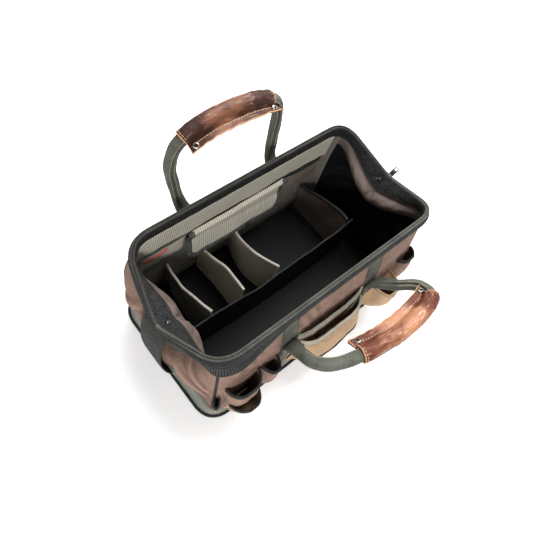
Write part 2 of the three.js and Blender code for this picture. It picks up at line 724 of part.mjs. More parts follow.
// The leather goes round the tube and its two edges lie together as a flange on the inner side
function gripRing({ point, inward, square }) {
  const leaf = SEAT / 2;
  const turns = steps(GRIP_GAP, Math.PI * 2 - GRIP_GAP, GRIP_SIDES);
  const side = (radius, leafOut) => [
    [radius + FLANGE, leafOut],
    ...turns.map((turn) => [radius * Math.cos(turn), radius * Math.sin(turn)]),
    [radius + FLANGE, -leafOut],
  ];
  const inner = side(GRIP_BORE, leaf);
  const outer = side(GRIP_BORE + LEATHER, leaf + LEATHER).map(([x, y]) => [Math.min(x, GRIP_BORE + FLANGE), y]);
  const neck = GRIP_BORE * FLANGE_NECK;
  outer[1] = [neck, leaf + LEATHER * SEAM_PLY];
  outer[outer.length - 2] = [neck, -leaf - LEATHER * SEAM_PLY];
  inner[1] = [(GRIP_BORE + neck) / 2, leaf];
  inner[inner.length - 2] = [(GRIP_BORE + neck) / 2, -leaf];
  return [...outer, ...inner.reverse()].map(([x, y]) => {
    return point.clone().addScaledVector(inward, x).addScaledVector(square, y);
  });
}

function buildHandle(handle) {
  const { name, side, gripMiddle } = handle;
  const curve = handleCurve(handle);
  const reach = GRIP_LENGTH / 2 / curve.getLength();
  const gripFrom = gripMiddle - reach;
  const gripTo = gripMiddle + reach;
  const feet = curve.getPointAt(0).lerp(curve.getPointAt(1), 0.5);
  const centre = curve.getPointAt(0.5).lerp(feet, LOOP_CENTRE);
  const frameAt = (share) => handleFrame(curve, share, centre, side);
  const gripped = steps(gripFrom, gripTo, GRIP_SPANS);
  const leg = (from, to) => steps(from, to, LEG_SPANS);
  const whole = [...leg(0, gripFrom), ...gripped.slice(1, -1), ...leg(gripTo, 1)];
  addPiece(`handle_${name}`, loft(whole.map((share) => tubeRing(frameAt(share), share))), 'webbing');
  addPiece(`grip_${name}`, loft(gripped.map((share) => gripRing(frameAt(share)))), 'leather');

  const inset = SNAP_INSET / curve.getLength();
  for (const [end, share] of [['left', gripFrom + inset], ['right', gripTo - inset]]) {
    const { point, inward, square } = frameAt(share);
    const foot = point.addScaledVector(inward, GRIP_BORE + FLANGE * SNAP_PLACE);
    foot.addScaledVector(square, SEAT / 2 + LEATHER * SEAM_PLY + SEAT);
    placeDome(`snap_${name}_${end}`, SNAP_RADIUS, SNAP_TALL, foot, square, 'steel');
  }
  for (const [end, sign] of [['left', -1], ['right', 1]]) {
    buildAnchor(`handle_anchor_${name}_${end}`, side, sign * HANDLE_FOOT);
  }
}

function buildAnchor(name, side, x) {
  const middle = side < 0 ? FRONT_MIDDLE : BACK_MIDDLE;
  const along = side < 0 ? x : -x;
  const half = ANCHOR_WIDTH / 2;
  const row = { from: along - half, to: along + half, low: ANCHOR_LOW, high: ANCHOR_HIGH, ...FLAT };
  addPiece(name, pocketSheet(row, middle, 1, () => SEAT, PANEL - SEAT), 'webbing');
}

buildWalls();
buildBase();
buildMouth();
buildOuterPockets(FRONT_POCKETS, FRONT_MIDDLE);
buildOuterPockets(BACK_POCKETS, BACK_MIDDLE);
buildInside();
HANDLES.forEach(buildHandle);

export default bag;
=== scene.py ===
# Looks of an open tool bag with a hinged mouth: cloth, trim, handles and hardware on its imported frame.
import math

import bpy
import numpy as np
from mathutils import Matrix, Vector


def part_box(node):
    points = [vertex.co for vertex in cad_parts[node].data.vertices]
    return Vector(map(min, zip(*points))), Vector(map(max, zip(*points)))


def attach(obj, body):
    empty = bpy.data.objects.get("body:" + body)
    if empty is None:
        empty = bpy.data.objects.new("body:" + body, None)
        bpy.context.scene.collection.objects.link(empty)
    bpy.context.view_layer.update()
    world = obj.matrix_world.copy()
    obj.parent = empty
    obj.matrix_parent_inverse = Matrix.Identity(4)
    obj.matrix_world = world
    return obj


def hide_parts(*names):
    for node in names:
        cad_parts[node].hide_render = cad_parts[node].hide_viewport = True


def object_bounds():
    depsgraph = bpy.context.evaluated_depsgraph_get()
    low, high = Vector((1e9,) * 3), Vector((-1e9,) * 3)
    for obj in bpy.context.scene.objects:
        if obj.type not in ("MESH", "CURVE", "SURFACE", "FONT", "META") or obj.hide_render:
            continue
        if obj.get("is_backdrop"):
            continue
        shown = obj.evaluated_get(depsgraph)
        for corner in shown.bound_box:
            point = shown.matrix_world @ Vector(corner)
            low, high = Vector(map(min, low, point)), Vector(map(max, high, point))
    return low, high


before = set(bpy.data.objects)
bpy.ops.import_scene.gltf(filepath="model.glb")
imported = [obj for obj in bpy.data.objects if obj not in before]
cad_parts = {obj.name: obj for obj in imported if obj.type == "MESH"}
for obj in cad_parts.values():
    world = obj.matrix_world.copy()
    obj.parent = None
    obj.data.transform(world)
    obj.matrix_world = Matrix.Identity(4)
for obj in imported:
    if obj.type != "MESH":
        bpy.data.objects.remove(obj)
CAD_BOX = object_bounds()

# Every size below is in millimetres, as the bag was drawn
MM = 0.001
base_low, base_high = [np.array(corner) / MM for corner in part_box("base_panel")]

# Mouth frame and base
RIM_LENGTH = 510
RIM_DEPTH = 262
RIM_HEIGHT = 286
RIM_TURN = 48
HINGE_OUT = 30
HINGE_DROP = 56
HINGE_TURN = 14
BASE_LENGTH = base_high[0] - base_low[0]
BASE_DEPTH = base_high[1] - base_low[1]
BASE_TURN = 46
SEAT = 0.4
FLOOR = base_high[2] + SEAT

# Cloth
WALL = 2.5
PANEL = 2
LONG_SWELL = 8
RIGHT_SWELL = 10
LEFT_SWELL_BACK = 11
LEFT_SWELL_FRONT = 4
CORNER_SWELL = 6
BACK_LEFT_SWELL = 15  # the cloth is fuller and higher round the back left corner
PINCH = 3  # how far the cloth steps in above the base band
PINCH_LEFT = 12
SWELL_BOXY = 4
SWELL_LOW = 1.1
SWELL_HIGH = 1.6
TUCK_LEFT = (38, 20)  # depth of the fold of the end, and how much deeper it is at the hinge
TUCK_RIGHT = (34, 5)
TUCK_BELOW = (20, 13)  # height of the fold's nose under the hem, left and right
TUCK_RUN = 50
TUCK_SPREAD = 0.8
TURN_IN_SPREAD = 0.3
LOW_SWELL = 0.05  # share of the swell left just above the base band
HIDDEN_TOP = 4  # how far the walls run up inside the sleeve
HALF_END = 145  # run of the cloth from a corner to a hinge
ARM_RUN = 145.6  # and of the mouth frame
END_TALL = 250
FOLD_RISE = 0.8  # the fold of an end lies above this share of its height, and its taupe lining above the next; below that the inside is black lining, a painted shade
LINING_RISE = 0.9
LINING_SLANT = (190, 330, 520)  # how the creases of that lining slant: along, with height, and up
SLACK_BOXY = 14
GATHERED = (2.4, 0.4)  # height of the gathers under the rim, front and back

# Sleeve round the frame, and the open zip on it
SLEEVE_THICK = 9
SLEEVE_TALL = 27
SLEEVE_TALL_HINGE = 42
SLEEVE_WIDENS = 0.2
SLEEVE_EASE = 3
SLEEVE_PIVOT = 4.5
ARM_TILT_LEFT = 62  # degrees that the sleeve leans into the bag at each hinge
ARM_TILT_RIGHT = 34
ZIP_TOP = 4
ZIP_TALL = 17
ZIP_THICK = 0.9
ZIP_SUNK = 3.2  # how far the top of its tape lies in the sleeve
ZIP_PROUD = 1.4  # how far the tape stands off the sleeve
ZIP_FLARE = 15  # how far the zip hangs clear at the front left corner
TOOTH = {"pitch": 4.4, "tall": 11, "wide": 2.3, "proud": 1.5}

# Trim
BAND_TALL = 32
BAND_THICK = 1.8
BAND_LANE = 9.5  # height of its rows of stitches from its middle
PIPING_RADIUS = 3
STRAP_WIDTH = 60
STRAP_THICK = 2
STRAP_BOW = 18
STRAP_FILL = 11  # how far the cloth swells under an end strap
STRAP_FOOT = 11
STRAP_BELOW_RIM = 9
STRAP_INSIDE_RIM = 4
STRAP_EDGE = 1.2
STRAP_RIDGE = {"tall": 0.45, "pitch": 7.5}
STRAP_BOX = {"inset": 4, "foot": 0.02, "head": 0.24}  # its crossed stitches, up by shares of its run
STRAP_LANE = 3
STRAP_PRESS = 0.13  # how widely a strap smooths the cloth of the end, as a share of the end
CORNER_SEAM = {"wide": 5.2, "proud": 3.0}
EDGE_COVER = 1.2  # how far a binding stands over the edge that it covers
STITCH = {"pitch": 4.6, "long": 3.2, "radius": 0.55}
RIVET = {"radius": 4.5, "tall": 2.4, "aside": 8.5}
SLIDER = {"length": 15, "wide": 9, "narrow": 6, "tall": 4.5}
PULL = {"run": 13, "radius": 5.5, "eye": 3, "thick": 1.6, "bevel": 0.3, "tilt": 0.6}
SNAP = {"radius": 5.8, "tall": 2.4, "inset": 13, "place": 0.58}

# Handles
TUBE_RADIUS = 11
FOOT_WIDE = 17
FOOT_THICK = 3.2
FOOT_FLAT, FOOT_ROUND = 0.04, 0.16
SEWN_RUN = 62
PEEL = 2.2
HANDLE_FOOT = 106
ANCHOR_WIDTH = 36
ANCHOR_LOW = 36
ANCHOR_HIGH = 256
LEATHER = 2.2
GRIP_LENGTH = 188
GRIP_BORE = 12.8
FLANGE = {-1: 22, 1: 18}  # width of the sewn edges of the grip, front and back
FLANGE_ROLL = {-1: 0.42, 1: 1.0}  # how far the flange is turned up, front and back
FLARE = {-1: (5, 20), 1: (5, 14)}  # how far the flange runs on past the tube at its left and right end
FLARE_LIFT = 7  # and how far its right corner stands up
LOOP_CENTRE = 0.6
SEAM_TURNS = {"front": (1.1, 1.0), "back": (2.05, 0.72)}  # turn where the edges meet, at each foot
SEAM_GROOVE = {"deep": 2.8, "wide": 0.12}
SEAM_LAP = {"tall": 1.0, "aside": 0.3, "wide": 0.16}
SEAM_LANE = 0.34
FOOT_LANE = 12
GRIP_SEAM = 5.4  # distance of the grip's stitches from its round part
GRIP_LANE = 4  # and of the stitches round its ends from the ends
GRIP_STITCH = 1.25  # size of its stitches against the others
ANCHOR_LANE = 2.5

# Inside
DIVIDER_TALL = 132
DIVIDER_THICK = 4
DIVIDER_BACK = 118
DIVIDER_SHELF = 96
DIVIDER_TAIL = 140
LENGTHWISE = {"left": -236, "right": 222, "y": -6, "bow": 7, "tall": 118}
FACE_PIPING = {"half": 76, "low": 108, "high": 160, "turn": 16, "thick": 4.4}
FLAP_CREASE = {"deep": 2.6, "wide": 6, "wander": 5, "wave": 60}
FLAP_ROLL = {"proud": 9, "below": 10, "wide": 9, "smoothed": 0.8}
FLAP_BINDING = {"thick": 6.4, "tall": 12.5, "over": 3.4, "lane": 7.6, "stand": 1.6}
DIVIDER_BINDING = {"proud": 2.2, "tall": 9.5, "over": 2.6}
RIB_PITCH = 4.8
RIB_TALL = 0.55

WALL_RUN = (RIM_LENGTH + BASE_LENGTH) / 2
FRONT_MIDDLE = 0.5
BACK_MIDDLE = 3.5
DRAWN_FROM = 0.55
RIGHT_HINGE = 2
BACK_LEFT = 4
LEFT_HINGE = 5
LOOP = 6
NUDGE = 0.001  # small steps round the loop
JUST_PAST = 1e-6
UP = np.array([0.0, 0.0, 1.0])

# Lines in the grids of the cloths, across and then up, and stations along the tapes and sleeves
WALL_LINES = (192, 82)
END_LINES = (158, 60, 52)  # the last above FOLD_RISE
STRAP_LINES = (56, 44)
ZIP_LINES = {"all": 12, "lane": 3, "coil": (4, 7, 10)}
PANEL_LINES = (840, 14)
FLAP_LINES = (400, 12, 19)  # up: in its round corners, and above them
TAB_LINES = (60, 8)
DIVIDER_LINES = (60, 34)
ANCHOR_LINES = (20, 80)
BASE_STATIONS = 560
SLEEVE_STATIONS = 384
GRIP_STATIONS = 130
HANDLE_STATIONS = 224
HANDLE_SIDES = 64
LATHE_SIDES = 28
LANE = 60  # stations along a row of stitches, and along a short one
SHORT_LANE = 24


def table(columns, *rows):
    """Rows as dictionaries that have the columns as names."""
    names = columns.split()
    return [dict(zip(names, row)) for row in rows]


# Folds over each end. across: share from the left edge of the end, rise: share of its height.
FOLD_COLUMNS = "from_across from_rise to_across to_rise height width"
FOLDS = table(
    FOLD_COLUMNS,
    (0.44, 0.84, 0.12, 0.26, 5, 0.05),
    (0.46, 0.7, 0.27, 0.18, -4, 0.05),
    (0.56, 0.84, 0.88, 0.26, 5, 0.05),
    (0.54, 0.7, 0.73, 0.18, -4, 0.05),
)
FINE_FOLDS = table(
    FOLD_COLUMNS,
    (0.60, 0.95, 0.99, 0.50, 8.0, 0.026),
    (0.60, 0.87, 0.99, 0.36, -7.0, 0.024),
    (0.60, 0.79, 0.98, 0.24, 11.0, 0.024),
    (0.60, 0.70, 0.96, 0.15, -9.0, 0.022),
    (0.60, 0.61, 0.92, 0.09, 10.0, 0.024),
    (0.60, 0.51, 0.86, 0.05, -6.0, 0.018),
    (0.60, 0.42, 0.79, 0.03, 6.0, 0.018),
    (0.39, 0.92, 0.03, 0.46, 9.0, 0.036),
    (0.40, 0.78, 0.08, 0.28, -5.0, 0.030),
    (0.40, 0.64, 0.18, 0.10, 4.5, 0.024),
)
FINE_RIGHT = 0.45  # share of the fine folds' height on the right end

LINING_FOLDS = table(
    FOLD_COLUMNS,
    (0.500, 1.0, 0.455, 0.92, 3.0, 0.018),
    (0.500, 1.0, 0.545, 0.92, 3.0, 0.018),
    (0.400, 1.0, 0.435, 0.92, -2.4, 0.020),
    (0.610, 1.0, 0.570, 0.92, -2.4, 0.020),
    (0.330, 1.0, 0.370, 0.92, 2.4, 0.022),
    (0.690, 1.0, 0.640, 0.92, 2.4, 0.022),
    (0.230, 1.0, 0.280, 0.92, 2.0, 0.024),
    (0.780, 1.0, 0.730, 0.92, 2.0, 0.024),
)

# Pockets. from and to: along the wall from its middle, low and high: above the floor, out: how far it stands
# off, boxy: 2 is a round pouch, drawn: how much its mouth draws in, slack: depth of its soft dents.
POCKET_COLUMNS = "name cloth trim from to low high out boxy drawn slack on"
FRONT_POCKETS = table(
    POCKET_COLUMNS,
    ("front_pocket_centre", "brown", "grey", -85, 85, 36, 182, 10, 4, 0, 0.7, None),
    ("front_pocket_face", "tan", "grey", -80, 80, 40, 164, 33, 6, 0.6, 0.5, "front_pocket_centre"),
    ("front_pocket_right", "tan", "tan", 127, 186, 36, 142, 46, 5, 0.1, 1.6, None),
    ("front_pocket_end", "brown", "black", 191, 243, 36, 176, 16, 2.5, 0, 1.0, None),
    ("front_pocket_knob", "brown", "black", -165, -127, 36, 160, 24, 2.5, 0, 0.9, None),
    ("front_pocket_left", "brown", "black", -242, -169, 36, 166, 27, 3, 0, 1.2, None),
    ("front_corner_loop", "brown", "black", -266, -249, 36, 128, 20, 2, 0, 0.4, None),
    ("front_pocket_loop", "tan", "black", -236, -176, 56, 116, 13, 2.5, 0, 0.6, "front_pocket_left"),
)
BACK_POCKETS = table(
    POCKET_COLUMNS,
    ("back_pocket_right", "brown", "black", -242, -127, 36, 176, 26, 4, 0, 1.3, None),
    ("back_pocket_middle", "brown", "black", -85, 85, 36, 176, 26, 4, 0, 1.3, None),
    ("back_pocket_left", "brown", "black", 127, 242, 36, 176, 26, 4, 0, 1.3, None),
)
INNER_POCKETS = table(
    POCKET_COLUMNS,
    ("inner_pocket_left", "ribbed", "thin", 126, 240, 126, 195, 7, 9, 0, 0.2, None),
    ("inner_pocket_right", "taupe", "black", -230, -118, 118, 192, 7, 4, 0, 0.8, None),
)
INNER_PANEL = {"from": -236, "to": 244, "low": 197, "high": 262, "foot": 1.2, "head": -1.9, "thick": 4.5}
INNER_FLAP = {"from": -110, "to": 118, "low": 104, "high": 196.2, "foot": 16, "head": 4, "thick": 3}
FLAP_CORNER = 20
TAB = {"from": 172, "to": 228, "low": 177, "high": 185.5, "thick": 0.8}
DIVIDERS = table(
    "name x bow",
    ("divider_1", -165, -9),
    ("divider_2", -87, 4),
    ("divider_3", 2, -16),
    ("divider_4", 200, 5),
)

# Middle line of each handle: x along the bag, out from its middle, z up
HANDLES = (
    {
        "name": "front",
        "side": -1,
        "grip_middle": 0.53,
        "line": (
            (-112, 182, 214), (-114, 206, 240), (-96, 226, 254), (-50, 242, 260), (24, 254, 261),
            (92, 252, 258), (132, 240, 253), (139, 214, 238), (121, 184, 212),
        ),
    },
    {
        "name": "back",
        "side": 1,
        "grip_middle": 0.5,
        "line": (
            (-112, 172, 226), (-121, 182, 282), (-124, 188, 328), (-108, 190, 368), (-58, 190, 390),
            (0, 190, 392), (60, 190, 382), (103, 190, 358), (114, 188, 320), (107, 180, 274), (102, 170, 226),
        ),
    },
)

# Sections of the turned metal, as shares of its radius and height
RIVET_SECTION = (
    (0, -0.25), (0.96, -0.25), (1, 0), (0.98, 0.3), (0.88, 0.52),
    (0.8, 0.45), (0.74, 0.6), (0.55, 0.86), (0.3, 0.98), (0, 1),
)
SNAP_RING_SECTION = (
    (0, -1 / 3), (0.95, -1 / 3), (1, 0.125), (0.97, 0.55), (0.82, 0.9),
    (0.66, 1), (0.55, 0.8), (0.5, 0.4), (0, 0.4),
)
SNAP_CUP_SECTION = ((0, 0), (0.52, 0), (0.52, 0.42), (0.4, 0.6), (0.2, 0.72), (0, 0.74))
SNAP_BACK_SECTION = ((0, 0), (0.9, 0), (0.85, 0.5), (0.4, 0.7), (0, 0.7))

# Unevenness of the soft pieces: the seed of its waves, their length and their height
WAVES = {row["name"]: row for row in table(
    "name seed length height",
    ("end_soft", 11, 85, 1.2),
    ("end_crease", 13, 90, 1.5),
    ("gathers", 23, 26, 1),
    ("bunched", 29, 110, 1),
    ("wall_soft", 31, 130, 0.8),
    ("wall_crease", 33, 95, 0.9),
    ("lining_crease", 35, 75, 0.6),
    ("lining_soft", 37, 40, 0.15),
    ("sleeve_crinkle", 41, 26, 0.45),
    ("sleeve_bunch", 43, 13, 1.1),
    ("zip_sway", 51, 60, 0.6),
    ("divider", 60, 70, 1),
    ("divider_lengthwise", 77, 90, 1.2),
    ("handle_soft", 71, 40, 0.35),
    ("grip_dent", 91, 42, 0.45),
    ("grip_fine", 92, 15, 0.2),
    ("grip_edge", 93, 22, 0.5),
    ("hung_panel", 0, 120, 0.8),
    ("pocket_soft", 400, 44, 1),
    ("pocket_fine", 401, 22, 0.5),
)}


# Small maths on arrays

def lerp(first, last, share):
    return first + (last - first) * share


def smooth(value, low, high):
    share = np.clip((value - low) / (high - low), 0, 1)
    return share * share * (3 - 2 * share)


def unit(vectors):
    return vectors / np.linalg.norm(vectors, axis=-1, keepdims=True)


def bump(value, middle, width):
    return np.exp(-(((value - middle) / width) ** 2))


def ripple(u, v, seed, wave, count=7):
    """Soft waves in all directions, about one unit high, the same on every run."""
    dice = np.random.default_rng(seed)
    total = 0
    for _ in range(count):
        turn, phase = dice.uniform(0, 2 * math.pi, 2)
        pace = 2 * math.pi / (wave * dice.uniform(0.7, 1.5))
        total = total + np.sin(pace * (u * math.cos(turn) + v * math.sin(turn)) + phase)
    return total / math.sqrt(count)


def crumple(u, v, seed, wave):
    """Thin creases that wander over slack cloth."""
    return (1 - np.minimum(np.abs(ripple(u, v, seed, wave)), 1)) ** 4


def uneven(name, u, v, form=ripple, more=0):
    """One kind of unevenness, as the table has it. more: added to its seed, for pieces of one kind."""
    row = WAVES[name]
    return row["height"] * form(u, v, row["seed"] + more, row["length"])


def square_to(vectors, forward):
    """What is left of vectors square to a direction, one unit long."""
    return unit(vectors - forward * (vectors * forward).sum(-1, keepdims=True))


def run_along(points):
    """Length of a line up to each of its points."""
    return np.concatenate([[0], np.cumsum(np.linalg.norm(np.diff(points, axis=0), axis=1))])


def between(points, run, want):
    """Points of a line at the wanted lengths along it."""
    return np.stack([np.interp(want, run, points[:, axis]) for axis in range(points.shape[1])], -1)


def turns_of(count, shift=0.0):
    """Even turns round a circle."""
    return (np.arange(count) + shift) * 2 * math.pi / count


def boxed(turn, power):
    """Cosine and sine of a turn. A power under 1 draws the circle out to a square."""
    return [np.sign(wave) * np.abs(wave) ** power for wave in (np.cos(turn), np.sin(turn))]


def looped(lines, axis):
    """A grid with its first line again as its last."""
    return np.concatenate([lines, np.take(lines, [0], axis)], axis)


def hem_line(first, last, low, high, turn, bends, count):
    """Even points down one side of a pocket or flap, round its lower corners and up its other side."""
    bend = np.linspace(0, math.pi / 2, bends)
    corner = np.stack([first + turn * (1 - np.cos(bend)), low + turn * (1 - np.sin(bend))], -1)
    half = np.concatenate([[(first, high)], corner])
    mirrored = half * (-1, 1) + (first + last, 0)
    line = np.concatenate([half, mirrored[::-1]])
    run = run_along(line)
    return between(line, run, np.linspace(0, run[-1], count)).T


# Form of the bag, the same as its solids but for its soft folds

def rounded_loop(corners, turns):
    """A closed loop through corners, each turned by a curve that starts its turn before it."""
    corners = np.array(corners, float)
    turns = np.array(turns, float)
    count = len(corners)
    steps = np.roll(corners, -1, axis=0) - corners
    lengths = np.linalg.norm(steps, axis=1)
    ahead = unit(steps)
    behind = -np.roll(ahead, 1, axis=0)

    def turned(index, along):
        turn = turns[index][..., None]
        share = 0.5 + along[..., None] / (2 * turn)
        start = corners[index] + behind[index] * turn
        end = corners[index] + ahead[index] * turn
        return start * (1 - share) ** 2 + corners[index] * 2 * share * (1 - share) + end * share ** 2

    def at(place):
        place = np.mod(np.asarray(place, float), count)
        index = np.floor(place).astype(int) % count
        share = place - np.floor(place)
        after = (index + 1) % count
        length = lengths[index]
        straight = corners[index] + steps[index] * share[..., None]
        leaving = (share * length < turns[index])[..., None]
        nearing = ((1 - share) * length < turns[after])[..., None]
        point = np.where(nearing, turned(after, (share - 1) * length), straight)
        return np.where(leaving, turned(index, share * length), point)

    return at


def bag_loop(length, depth, height, turn, hinge_out, hinge_height):
    x, y = length / 2, depth / 2
    right = [(x, -y, height), (x + hinge_out, 0, hinge_height), (x, y, height)]
    left = [(-x, y, height), (-x - hinge_out, 0, hinge_height)]
    turns = [turn, turn, HINGE_TURN, turn, turn, HINGE_TURN]
    return rounded_loop([(-x, -y, height)] + right + left, turns)


rim_loop = bag_loop(RIM_LENGTH, RIM_DEPTH, RIM_HEIGHT, RIM_TURN, HINGE_OUT, RIM_HEIGHT - HINGE_DROP)
base_loop = bag_loop(BASE_LENGTH, BASE_DEPTH, FLOOR, BASE_TURN, 0, FLOOR)


def outward_at(place):
    place = np.asarray(place, float)
    along = rim_loop(place + NUDGE) + base_loop(place + NUDGE)
    along = along - rim_loop(place - NUDGE) - base_loop(place - NUDGE)
    level = np.zeros_like(along[..., 0])
    return unit(np.stack([along[..., 1], -along[..., 0], level], -1))


def hinge_share(place):
    """1 at a hinge, falling to 0 at the corners beside it."""
    place = np.mod(place, LOOP)
    nearest = np.minimum(np.abs(place - RIGHT_HINGE), np.abs(place - LEFT_HINGE))
    return np.clip(1 - nearest, 0, 1)


def side_share(place):
    half = np.mod(place, 3)
    return np.where(half < 1, half, (half - 1) / 2)


def is_end(place):
    return np.mod(place, 3) >= 1


def is_left(place):
    return np.mod(place, LOOP) > BACK_MIDDLE


def rise_of(z):
    return (z - FLOOR) / (RIM_HEIGHT - SLEEVE_TALL - SEAT - FLOOR)


def sleeve_tall(place):
    return lerp(SLEEVE_TALL, SLEEVE_TALL_HINGE, smooth(hinge_share(place), SLEEVE_WIDENS, 1))


def wall_top(place):
    turned_in = (WALL + SEAT) * smooth(hinge_share(place), 0, TURN_IN_SPREAD)
    return rim_loop(place)[..., 2] - sleeve_tall(place) - SEAT - turned_in


def end_swell(place):
    """The left end is full at the back and flat at the front."""
    place = np.mod(place, LOOP)
    left = lerp(LEFT_SWELL_BACK, LEFT_SWELL_FRONT, smooth(place, LEFT_HINGE - 0.4, LEFT_HINGE + 0.3))
    return np.where(is_left(place), left, RIGHT_SWELL)


def fullness(place):
    """1 at the back left corner, falling away along the end and, sooner, along the back."""
    aside = np.mod(place, LOOP) - BACK_LEFT
    return smooth(1 - np.where(aside < 0, -aside / 0.12, aside / 0.75), 0, 1)


def pinch(place, rise):
    """Step inward above the base band, deepest at the left end."""
    aside = np.abs(np.mod(place - LEFT_HINGE + LOOP / 2, LOOP) - LOOP / 2)
    depth = lerp(PINCH, PINCH_LEFT, smooth(1.05 - aside, 0, 0.3))
    return depth * smooth(rise, 0, 0.11) * (1 - smooth(rise, 0.24, 0.68))


def held_back(place):
    """1 under the middle of an end strap."""
    return np.where(is_end(place), bump(side_share(place), 0.5, STRAP_PRESS), 0)


def swell(place, rise):
    across = 1 - np.abs(2 * side_share(place) - 1) ** SWELL_BOXY
    full = fullness(place)
    height = np.sin(math.pi * np.clip(rise, 0, 1) ** lerp(SWELL_LOW, SWELL_HIGH, full))
    height = height * lerp(LOW_SWELL, 1, smooth(rise, 0.03, 0.42))
    corner = lerp(CORNER_SWELL, BACK_LEFT_SWELL, full)
    out = lerp(corner, np.where(is_end(place), end_swell(place), LONG_SWELL), across) * height
    held = STRAP_FILL * np.sin(math.pi * np.clip(rise, 0, 1))
    return lerp(out - pinch(place, rise), held, held_back(place))


def arm_tilt(place):
    """How far the sleeve leans into the bag, which is most at the hinges."""
    most = np.where(is_left(place), ARM_TILT_LEFT, ARM_TILT_RIGHT)
    return np.radians(most) * smooth(hinge_share(place), 0.05, 0.9)


def tuck(place, below):
    """How far the end folds into the bag, from the hem of the sleeve to the nose of the fold and back."""
    hem = (sleeve_tall(place) - SLEEVE_PIVOT) * np.sin(arm_tilt(place))
    near = hinge_share(place)
    low = np.where(is_left(place), *TUCK_BELOW)
    depth, deeper = [np.where(is_left(place), *pair) for pair in zip(TUCK_LEFT, TUCK_RIGHT)]
    depth = (depth + deeper * near) * smooth(near, 0, TUCK_SPREAD)
    nose = lerp(hem, np.maximum(depth, hem), np.sin(math.pi / 2 * np.clip(below / low, 0, 1)))
    fall = 1 - smooth(below, low, low + TUCK_RUN)
    return np.where(below < low, nose, np.maximum(depth, hem) * fall)


def hem_lift(place, below):
    """How far the leaning sleeve lifts the top of the cloth."""
    lift = (sleeve_tall(place) - SLEEVE_PIVOT) * (1 - np.cos(arm_tilt(place)))
    return lift * (1 - smooth(below, 0, TUCK_BELOW[0]))


def folded(place, rise, folds):
    across = side_share(place)
    total = np.zeros_like(across)
    for fold in folds:
        run = (rise - fold["from_rise"]) / (fold["to_rise"] - fold["from_rise"])
        middle = lerp(fold["from_across"], fold["to_across"], run)
        fade = np.sin(math.pi * np.clip(run, 0, 1))
        total = total + fold["height"] * fade * bump(across, middle, fold["width"])
    return np.where(is_end(place), total, 0)


def wall_point(place, rise, taut=False):
    """Outer face of the cloth body. taut leaves out the folds, as under a strap."""
    place, rise = np.broadcast_arrays(np.asarray(place, float), np.asarray(rise, float))
    outward = outward_at(place)
    low = base_loop(place)
    high = rim_loop(place) - outward * SLEEVE_EASE
    high[..., 2] = wall_top(place)
    out = swell(place, rise)
    point = lerp(low, high, rise[..., None])
    if not taut:
        below = (1 - rise) * (high[..., 2] - low[..., 2])
        out = out + folded(place, rise, FOLDS) * (1 - held_back(place)) - tuck(place, below)
        point[..., 2] += hem_lift(place, below)
    return point + outward * out[..., None]


def slack_of_end(place, rise, still):
    """Fine folds of an end, and the creases of the lining that its fold shows."""
    across, up = place * HALF_END, rise * END_TALL
    soft = uneven("end_soft", across, up)
    crease = uneven("end_crease", across, up, crumple) * smooth(soft, -0.48, 0.96)
    fine = folded(place, rise, FINE_FOLDS) * np.where(is_left(place), 1, FINE_RIGHT)
    outer = (fine + soft + crease) * still * (1 - held_back(place))
    lining = smooth(rise, 0.84, 0.92) * (1 - smooth(rise, 0.985, 1)) * smooth(hinge_share(place), 0.05, 0.4)
    along, slant, tall = LINING_SLANT
    runs = uneven("lining_crease", place * along + rise * slant, rise * tall, crumple)
    runs = runs + uneven("lining_soft", across, rise * 60)
    return outer + lining * runs + folded(place, rise, LINING_FOLDS)


def slack_of_side(place, rise):
    """Gathers under the rim and soft waves of a long wall."""
    along, z = place * WALL_RUN, rise * RIM_HEIGHT
    under_rim = smooth(rise, 0.66, 0.84) * (1 - smooth(rise, 0.97, 1))
    bunched = smooth(uneven("bunched", along, z * 0.4), -0.5, 0.9)
    gathers = uneven("gathers", along + z * 0.35, z * 0.12) * bunched * under_rim
    gathers = gathers * np.where(np.mod(place, LOOP) < RIGHT_HINGE, *GATHERED)
    return gathers + uneven("wall_soft", along, z) + uneven("wall_crease", along, z, crumple)


def slack_of_wall(place, rise):
    """Small folds and puckers of the cloth, on top of its main form."""
    still = np.sin(math.pi * np.clip(rise, 0, 1)) * (1 - np.abs(2 * side_share(place) - 1) ** SLACK_BOXY)
    return np.where(is_end(place), slack_of_end(place, rise, still), slack_of_side(place, rise) * still)


def wall_face(place, rise):
    place, rise = np.broadcast_arrays(np.asarray(place, float), np.asarray(rise, float))
    return wall_point(place, rise) + outward_at(place) * slack_of_wall(place, rise)[..., None]


def stand_off(row, along, z):
    """How far a pocket stands off the wall at a point along it and above the floor."""
    across = np.clip((along - row["from"]) / (row["to"] - row["from"]), 0, 1)
    up = np.clip((z - row["low"]) / (row["high"] - row["low"]), 0, 1)
    side = 1 - np.abs(2 * across - 1) ** row["boxy"]
    belly = 1 - (1 - up) ** 3
    return row["out"] * side * (belly - row["drawn"] * smooth(up, DRAWN_FROM, 1))


# Meshes

def arc(points, axis):
    """Mean running length along one axis of a grid of points, starting at 0."""
    steps = np.linalg.norm(np.diff(points, axis=axis), axis=-1)
    return np.concatenate([[0], np.cumsum(steps.mean(axis=1 - axis))])


def flat_grid(points):
    across, up = np.meshgrid(arc(points, 0), arc(points, 1), indexing="ij")
    return np.stack([across, up], -1) * MM


def quads_of(grid):
    return np.stack([grid[:-1, :-1], grid[1:, :-1], grid[1:, 1:], grid[:-1, 1:]], -2)


def grid_faces(index, flat):
    faces = quads_of(index[..., None])[..., 0].reshape(-1, 4)
    return faces, quads_of(flat).reshape(-1, 4, 2)


def face_normals(points):
    along = np.gradient(points, axis=0)
    up = np.gradient(points, axis=1)
    return unit(np.cross(along, up))


